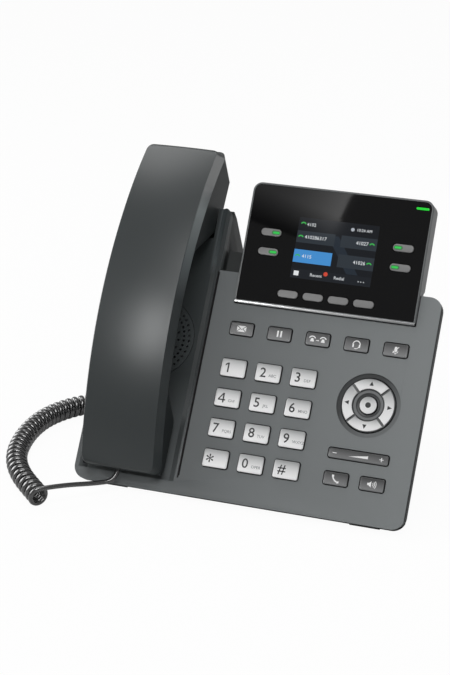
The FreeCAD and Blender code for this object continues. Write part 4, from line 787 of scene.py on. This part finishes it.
# each line lamp is a bright core inside a wider window that glows dim green as a painted halo of the
# lamp's light
lineLamps = {"Window": {"outline": (2.6, 1.25, 1.1), "in": 3.0, "tint": (70, 120, 80), "hair": 0.03},
             "": {"outline": (2.0, 0.62, 0.6), "in": 3.2, "tint": (52, 205, 82), "hair": 0.05}}
for index in range(pill["count"]):
    number = index + 1
    across = pill["softAcross"] + (index - (pill["count"] - 1) / 2) * pill["softPitch"]
    capPiece(f"softCap_{number}", f"soft_key_{number}", pill, (screenToRow, across, pill["softUp"]))
for index in range(pill["count"]):
    number, side, row = index + 1, (-1, 1)[index // 2], 1 - index % 2
    seat = (screenToRow, pill["middle"] + side * pill["lineAcross"],
            pill["lineLow"] + row * pill["lineRise"])
    node = f"line_key_{number}"
    capPiece(f"lineCap_{number}", node, pill, seat)
    for part, look in lineLamps.items():
        shape = roundedOutline(*look["outline"]) + (-side * look["in"], 0)
        lamp = markPiece(f"lineLamp{part}_{number}", [shape], "lamp", node, seat, pill["height"],
                         look["hair"])
        tintedWhole(lamp, look["tint"])
message = {"finish": "lampGreen", "slot": "lamp", "wide": 7.6, "tall": 1.35, "corner": 0.6,
           "fillet": 0.15, "skirt": 0.8, "across": 48.75, "up": 68.9, "tint": (40, 220, 60),
           "height": lambda x, y: np.full_like(x, -0.02)}
seat = (screenToRow, message["across"], message["up"])
lamp = capPiece("messageLamp", "message_lamp", message, seat, "base")
tintedWhole(lamp, message["tint"])

# sill: a bright silvery strip along the screen's lower edge that bulges by the root of a sine; its fade
# from bright at the left to grey at the right is a painted reflection
sill = {"low": 0.1, "high": 1.75, "half": 54.9, "out": 0.06, "under": -0.4, "rows": 40, "cols": 7}
s = np.linspace(-1, 1, sill["rows"])[:, None]
t = np.linspace(0, 1, sill["cols"])
bulge = np.sin(t * np.pi) ** 0.5
sillPoints = screenToRow(s * sill["half"], sill["low"] + (sill["high"] - sill["low"]) * t,
                         sill["under"] + (sill["out"] - sill["under"]) * bulge)
makePiece("screenSill", sillPoints, gridFaces(sill["rows"], sill["cols"], False), "sillSilver", "base",
          turned=True)

# display: flat cells of colour, each a hair above the one before, then the figures
display = {"across": 0.75, "half": 24.48, "low": 18.9, "tall": 36.72, "out": -0.17, "step": 0.004,
           "figuresOut": -0.07, "figures": (226, 230, 234), "night": (14, 18, 24),
           "slash": (30, 39, 49), "tile": (42, 49, 56), "chosen": (66, 140, 205),
           "foot": (22, 26, 32), "page": (225, 228, 230), "alert": (205, 70, 50),
           "dots": (200, 204, 208), "clock": (170, 176, 184), "hook": (60, 180, 80),
           "leftEdge": -1.2, "rightEdge": 2.6, "footTall": 5.6}
w, h = display["half"], display["tall"]
upperRow, lowerRow = (h - 15.2, h - 8.0), (h - 27.2, h - 19.4)
statusLine, upperLine, lowerLine, footLine = h - 3.9, h - 11.6, h - 23.3, 2.8


# tile on the display's left or right half, between two heights
def tileCell(half, row):
    edges = (-w, display["leftEdge"]) if half == "left" else (display["rightEdge"], w)
    return bar(edges[0], row[0], edges[1], row[1])


cells = [("night", bar(-w, 0, w, h)),
         ("slash", np.array([(-6, h - 9), (1, h - 9), (16, 6), (9, 6)])),
         ("tile", tileCell("left", upperRow)), ("tile", tileCell("right", upperRow)),
         ("chosen", tileCell("left", lowerRow)), ("tile", tileCell("right", lowerRow)),
         ("foot", bar(-w, 0, w, display["footTall"])), ("page", bar(-22.6, 1.6, -19.6, 4.4)),
         ("alert", arcPoints(-3.2, 4.4, 1.3, 0, 340, 16))]
cells += [("dots", arcPoints(17.0 + 1.6 * k, 2.4, 0.35, 0, 330, 10)) for k in range(3)]
cells += [("clock", arcPoints(8.6, statusLine, 1.1, 0, 340, 16))]
cells += [("hook", ribbon(arcPoints(x, y - 0.9, 1.5, 25, 155), 0.7))
          for x, y in ((-21.6, h - 3.6), (-22, upperLine), (-22, lowerLine), (21.6, upperLine),
                       (21.6, lowerLine))]
counts = [len(spots) for shade, spots in cells]
starts = np.cumsum([0] + counts).tolist()
x, y = np.concatenate([spots for shade, spots in cells]).T
cellOut = np.repeat(display["out"] + display["step"] * np.arange(len(cells)), counts)
cellFaces = [list(range(start, after)) for start, after in zip(starts, starts[1:])]
displaySeat = (screenToRow, display["across"], display["low"])
picture = makePiece("displayPicture", seated(displaySeat, x, y, cellOut), cellFaces, "picture", "base")
tinted(picture, np.array([srgb(*display[shade]) for shade, spots in cells]))
figures = [("4102", 2.8, -19.4, h - 4.0, "LEFT"), ("10:24 AM", 2.4, 11.0, statusLine, "LEFT"),
           ("410286317", 3.0, -19.6, upperLine, "LEFT"), ("41027", 3.0, 19.4, upperLine, "RIGHT"),
           ("4115", 3.0, -19.4, lowerLine, "LEFT"), ("41026", 3.0, 19.4, lowerLine, "RIGHT"),
           ("Recent", 2.6, -12.6, footLine, "LEFT"), ("Redial", 2.6, 2.0, footLine, "LEFT")]
figurePiece = markPiece("displayFigures", [lettering(*figure) for figure in figures], "picture", "base",
                        displaySeat, lambda x, y: np.full_like(x, display["figuresOut"]), 0.0)
tintedWhole(figurePiece, display["figures"])
print("screen")

# handset cord: the route's points and the runs out of the plugs in mm, as in the part's source, and
# all other lengths in metres. The curls go from the tight to the open pitch over a share of their
# middle line; the tail follows the base up to one of its points and the handset from another
cord = {"radius": 0.00145, "flat": 1.25, "flatRows": 40, "coil": 0.0067, "pitchTight": 0.0043,
        "pitchOpen": 0.0052, "openFrom": 0.3, "openOver": 0.3, "halfTurnSteps": 16, "straight": 0.0029,
        "leadStraight": 0.016, "tailStraight": 0.011, "leadPlug": 16, "tailPlug": 7,
        "axisStep": 0.0002, "leadStep": 0.001, "tailStep": 0.0008, "sides": 12, "sharp": 50,
        "sideways": (0.0, 0.3, 1.0), "baseUpTo": 2, "handsetFrom": -6,
        "plugBase": faceToRow(-20.0, 59.0, -15.35), "plugHandset": faceToRow(-72.3, 8.5, 4.2),
        "coilPoints": [(-99, 102), (-116, 98.5), (-131, 90), (-141, 78), (-147.3, 64), (-149.4, 48),
                       (-148, 30), (-143.5, 11.5), (-135, -4.5), (-122.8, -19), (-107.8, -32.8)],
        "leadPoints": [(-27, 34, 13), (-42, 40, 3), (-61, 51, 1.45), (-80, 66, 1.45)],
        "tailPoint": (-82.5, -9.5, 8.2)}


# length of a line from its first point to each of its points
def runLength(points):
    return np.concatenate([[0], np.cumsum(np.linalg.norm(np.diff(points, axis=0), axis=1))])


# a line's points at given lengths along it
def pointsAt(lengths, run, points):
    return np.stack([np.interp(lengths, run, points[:, k]) for k in range(3)], -1)


# smooth line: a quadratic spline with the route's points as control points, read back as points that
# start at the route's start
def splinePoints(route, steps=24):
    curve = bpy.data.curves.new("route", "CURVE")
    curve.dimensions = "3D"
    curve.resolution_u = steps
    spline = curve.splines.new("NURBS")
    spline.points.add(len(route) - 1)
    spline.points.foreach_set("co", np.c_[np.asarray(route), np.ones(len(route))].ravel())
    spline.order_u = 3
    spline.use_endpoint_u = True
    spots = curveMesh(curve)[0]
    first, last = (np.linalg.norm(spots[end] - route[0]) for end in (0, -1))
    return spots if first < last else spots[::-1]


# the same line in even steps
def evenly(points, step):
    run = runLength(points)
    return pointsAt(np.linspace(0, run[-1], int(run[-1] / step)), run, points)


# tube: an oval carried along the path; its frames turn as little as they can, and where the curls' own
# middle line is given, the oval lies flat along that
def tubePiece(name, path, body, replaces, heading=None):
    along = unit(np.gradient(path, axis=0))
    side = np.zeros_like(path)
    wide = np.ones((len(path), 1))
    first, last = 0, 1
    if heading is None:
        side[0] = np.cross(along[0], cord["sideways"])
    else:
        first = heading["first"]
        last = first + len(heading["ways"])
        side[first:last] = np.cross(along[first:last], heading["ways"])
        rows = np.arange(last - first)
        share = np.clip(np.minimum(rows, rows[::-1]) / cord["flatRows"], 0, 1)
        wide[first:last, 0] = 1 + (cord["flat"] - 1) * share
    side[first:last] = unit(side[first:last])
    onwards = [(here, here - 1) for here in range(last, len(path))]
    backwards = [(here, here + 1) for here in range(first)][::-1]
    for here, before in onwards + backwards:
        side[here] = unit(side[before] - along[here] * np.dot(side[before], along[here]))
    other = np.cross(along, side) * wide
    a = np.linspace(0, 2 * np.pi, cord["sides"], endpoint=False)[None, :, None]
    oval = np.cos(a) * (side / wide ** 0.5)[:, None] + np.sin(a) * other[:, None]
    faces = tubeFaces(len(path), cord["sides"])
    return makePiece(name, path[:, None] + cord["radius"] * oval, faces, "cordBlack", body,
                     cord["sharp"], replaces, True)


# the source's desk place in mm to row frame
def toPlace(x, y, z):
    return np.array([x, y + stance["setBack"], z]) * milli


# level heading from one point to another, of length 1
def levelWay(start, end):
    return unit((end - start) * (1, 1, 0))


# curls: stations along the middle line half a turn apart, wider apart towards the front, joined by a
# helix; also the middle line's heading at each point
def curls():
    route = [toPlace(x, y, cord["coil"] / milli) for x, y in cord["coilPoints"]]
    axis = evenly(splinePoints(route), cord["axisStep"])
    run = runLength(axis)
    stations = [0.0]
    while stations[-1] < run[-1]:
        share = (stations[-1] / run[-1] - cord["openFrom"]) / cord["openOver"]
        share = min(max(share, 0), 1)
        ease = share * share * (3 - 2 * share)
        pitch = cord["pitchTight"] * (1 - ease) + cord["pitchOpen"] * ease
        stations.append(stations[-1] + pitch / 2)
    if len(stations) % 2:
        stations.pop()
    stations = np.array(stations) * run[-1] / stations[-1]
    last = len(stations) - 1
    halfTurns = np.linspace(0, last, last * cord["halfTurnSteps"] + 1)
    middle = pointsAt(np.interp(halfTurns, np.arange(last + 1), stations), run, axis)
    heading = unit(np.gradient(middle, axis=0))
    up = np.array([0.0, 0.0, 1.0])
    turn = np.pi * halfTurns[:, None]
    winding = -np.cos(turn) * up - np.sin(turn) * np.cross(up, heading)
    return middle + (cord["coil"] - cord["radius"]) * winding, heading


curl, heading = curls()
startWay, endWay = levelWay(curl[1], curl[0]), levelWay(curl[-2], curl[-1])
coilStart, coilEnd = curl[0] + startWay * cord["straight"], curl[-1] + endWay * cord["straight"]
outOfPlug = faceToRow(0, -1.0, 0) - faceToRow(0, 0.0, 0)
leadRoute = [cord["plugBase"], cord["plugBase"] + outOfPlug * cord["leadPlug"],
             *(toPlace(*point) for point in cord["leadPoints"]),
             coilStart + startWay * cord["leadStraight"], coilStart]
lead = evenly(splinePoints(leadRoute), cord["leadStep"])
cordPath = np.concatenate([lead[:-1], [coilStart], curl, [coilEnd]])
curlyCord = tubePiece("curlyCord", cordPath, "base", ("cord_coil", "cord_lead"),
                      {"first": len(lead), "ways": heading})
tailRoute = [coilEnd, coilEnd + endWay * cord["tailStraight"], toPlace(*cord["tailPoint"]),
             cord["plugHandset"] + outOfPlug * cord["tailPlug"], cord["plugHandset"]]
tail = evenly(splinePoints(tailRoute), cord["tailStep"])
cordTail = tubePiece("cordTail", tail, None, ("cord_tail",))
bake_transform(cordTail)


# a stage sheet from its corners, in order round it
def stageSheet(name, corners, look):
    mesh = bpy.data.meshes.new(name)
    mesh.from_pydata(corners, [], [(0, 1, 2, 3)])
    mesh.materials.append(look.material)
    placed(name, mesh)
    return mesh


# floor: pale and matt under the light, nearly white to the camera so that only the shadow shows
ground = {"half": 9, "level": -0.0004, "colour": (0.93, 0.93, 0.93, 1), "rough": 0.9, "seenShare": 0.96}
floorLook = Finish("floorWhite", {"Base Color": ground["colour"], "Roughness": ground["rough"],
                                  "Specular IOR Level": 0.0})
floorLook.surface(floorLook.mixed(floorLook.ray("Is Camera Ray") * ground["seenShare"],
                                  Wire(floorLook, floorLook.shader.outputs[0]),
                                  floorLook.white("Emission", 1.0)))
stageSheet("floor", [(x * ground["half"], y * ground["half"], ground["level"])
                     for x, y in ((-1, -1), (1, -1), (1, 1), (-1, 1))], floorLook)

# world: a dim sky for light, white for what the camera sees, and partly white in gloss
air = {"dim": 0.2, "bright": 1.0, "glossShare": 0.25}
world = bpy.data.worlds.new("studio")
scene.world = world
world.use_nodes = True
world.node_tree.nodes.clear()
sky = Graph(world.node_tree, world.node_tree.nodes.new("ShaderNodeOutputWorld"))
whiteShare = (sky.ray("Is Glossy Ray") * air["glossShare"] + sky.ray("Is Camera Ray")
              + sky.ray("Is Transmission Ray"))
sky.surface(sky.mixed(whiteShare, sky.white("Background", air["dim"]),
                      sky.white("Background", air["bright"])))

# soft boxes: centre and size in metres, and radiance; some are seen in gloss only
lamps = {"nearBox": {"place": (-0.114, -0.254, 0.243), "size": (0.05, 0.095), "radiance": 14.0},
         "frontBox": {"place": (0.16, -0.66, 1.22), "size": (0.6, 0.5), "radiance": 7.5},
         "leftBox": {"place": (-1.1, -0.3, 0.6), "size": (0.9, 0.7), "radiance": 1.3},
         "backBox": {"place": (-0.45, 0.35, 1.05), "size": (0.5, 0.5), "radiance": 3.9},
         "rearBox": {"place": (0.95, 0.74, 0.3), "size": (1.1, 0.5), "radiance": 2.4},
         "coilBox": {"place": (-1.0, 0.12, 0.3), "size": (0.8, 0.5), "radiance": 5.0}}
glossOnly = ("nearBox", "rearBox", "coilBox")
aim = np.array([-0.07, -0.055, 0.1])


# a placing from its three axes and its centre
def placing(right, up, back, place):
    turn = np.eye(4)
    turn[:3] = np.stack([right, up, back, place], -1)
    return Matrix(turn.tolist())


# a placing that faces the aim, kept level
def facing(place):
    back = unit(np.array(place) - aim)
    right = unit(np.cross((0, 0, 1), back))
    return placing(right, np.cross(back, right), back, place)


# a box's power is its radiance times pi times its area
for name, look in lamps.items():
    data = bpy.data.lights.new(name, "AREA")
    data.shape, data.size, data.size_y = "RECTANGLE", *look["size"]
    data.energy = look["radiance"] * np.pi * np.prod(look["size"])
    lamp = placed(name, data)
    lamp.visible_diffuse = name not in glossOnly
    lamp.matrix_world = facing(look["place"])

# sheen card: a small lit card in front of the screen, skewed, brightest along its right edge and fading
# out downwards
card = {"centre": (-0.24669, -0.7553, 0.88169), "left": (-0.94204, 0.3355, 0.0),
        "up": (0.22257, 0.62494, 0.74828), "across": (-0.012, 0.13), "rise": (-0.04, 0.07),
        "skew": 0.1, "skewFrom": 0.03, "even": 1.1, "edge": 4.0, "edgeBend": 3.2, "fade": 2.7,
        "fadeBend": 1.5}
left, up, centre = (np.array(card[key]) for key in ("left", "up", "centre"))
square = np.array([(0, 0), (0, 1), (1, 1), (1, 0)])
across, rise = (np.array(card[key])[square[:, k], None] for k, key in enumerate(("across", "rise")))
across = across + card["skew"] * (card["skewFrom"] - rise)
cardLook = Finish("sheenCard")
edge = (1 - cardLook.along("UV", "X")) ** card["edgeBend"] * card["edge"]
fade = (cardLook.along("UV", "Y") * card["fade"]).clamp() ** card["fadeBend"]
cardLook.surface(cardLook.white("Emission", (edge + card["even"]) * fade))
cardMesh = stageSheet("sheenCard", (centre + across * left + rise * up).tolist(), cardLook)
cardMesh.uv_layers.new(name="card").data.foreach_set("uv", square.astype(float).ravel())

# camera: axes, target and distance fitted to the photograph
view = {"target": (-0.0252, -0.020764, 0.085627), "back": (0.2994, -0.8656, 0.4013),
        "right": (0.9451, 0.3269, 0.0), "up": (-0.1312, 0.3793, 0.9159), "distance": 1.112,
        "lens": 99.65, "sensor": 36.0, "shift": -0.00833, "far": 50}
cameraData = bpy.data.cameras.new("camera")
cameraData.lens, cameraData.sensor_width, cameraData.sensor_fit = view["lens"], view["sensor"], "AUTO"
cameraData.shift_y, cameraData.clip_end = view["shift"], view["far"]
camera = placed("camera", cameraData)
eye = np.array(view["target"]) + np.array(view["back"]) * view["distance"]
camera.matrix_world = placing(view["right"], view["up"], view["back"], eye)
scene.camera = camera
print("camera")
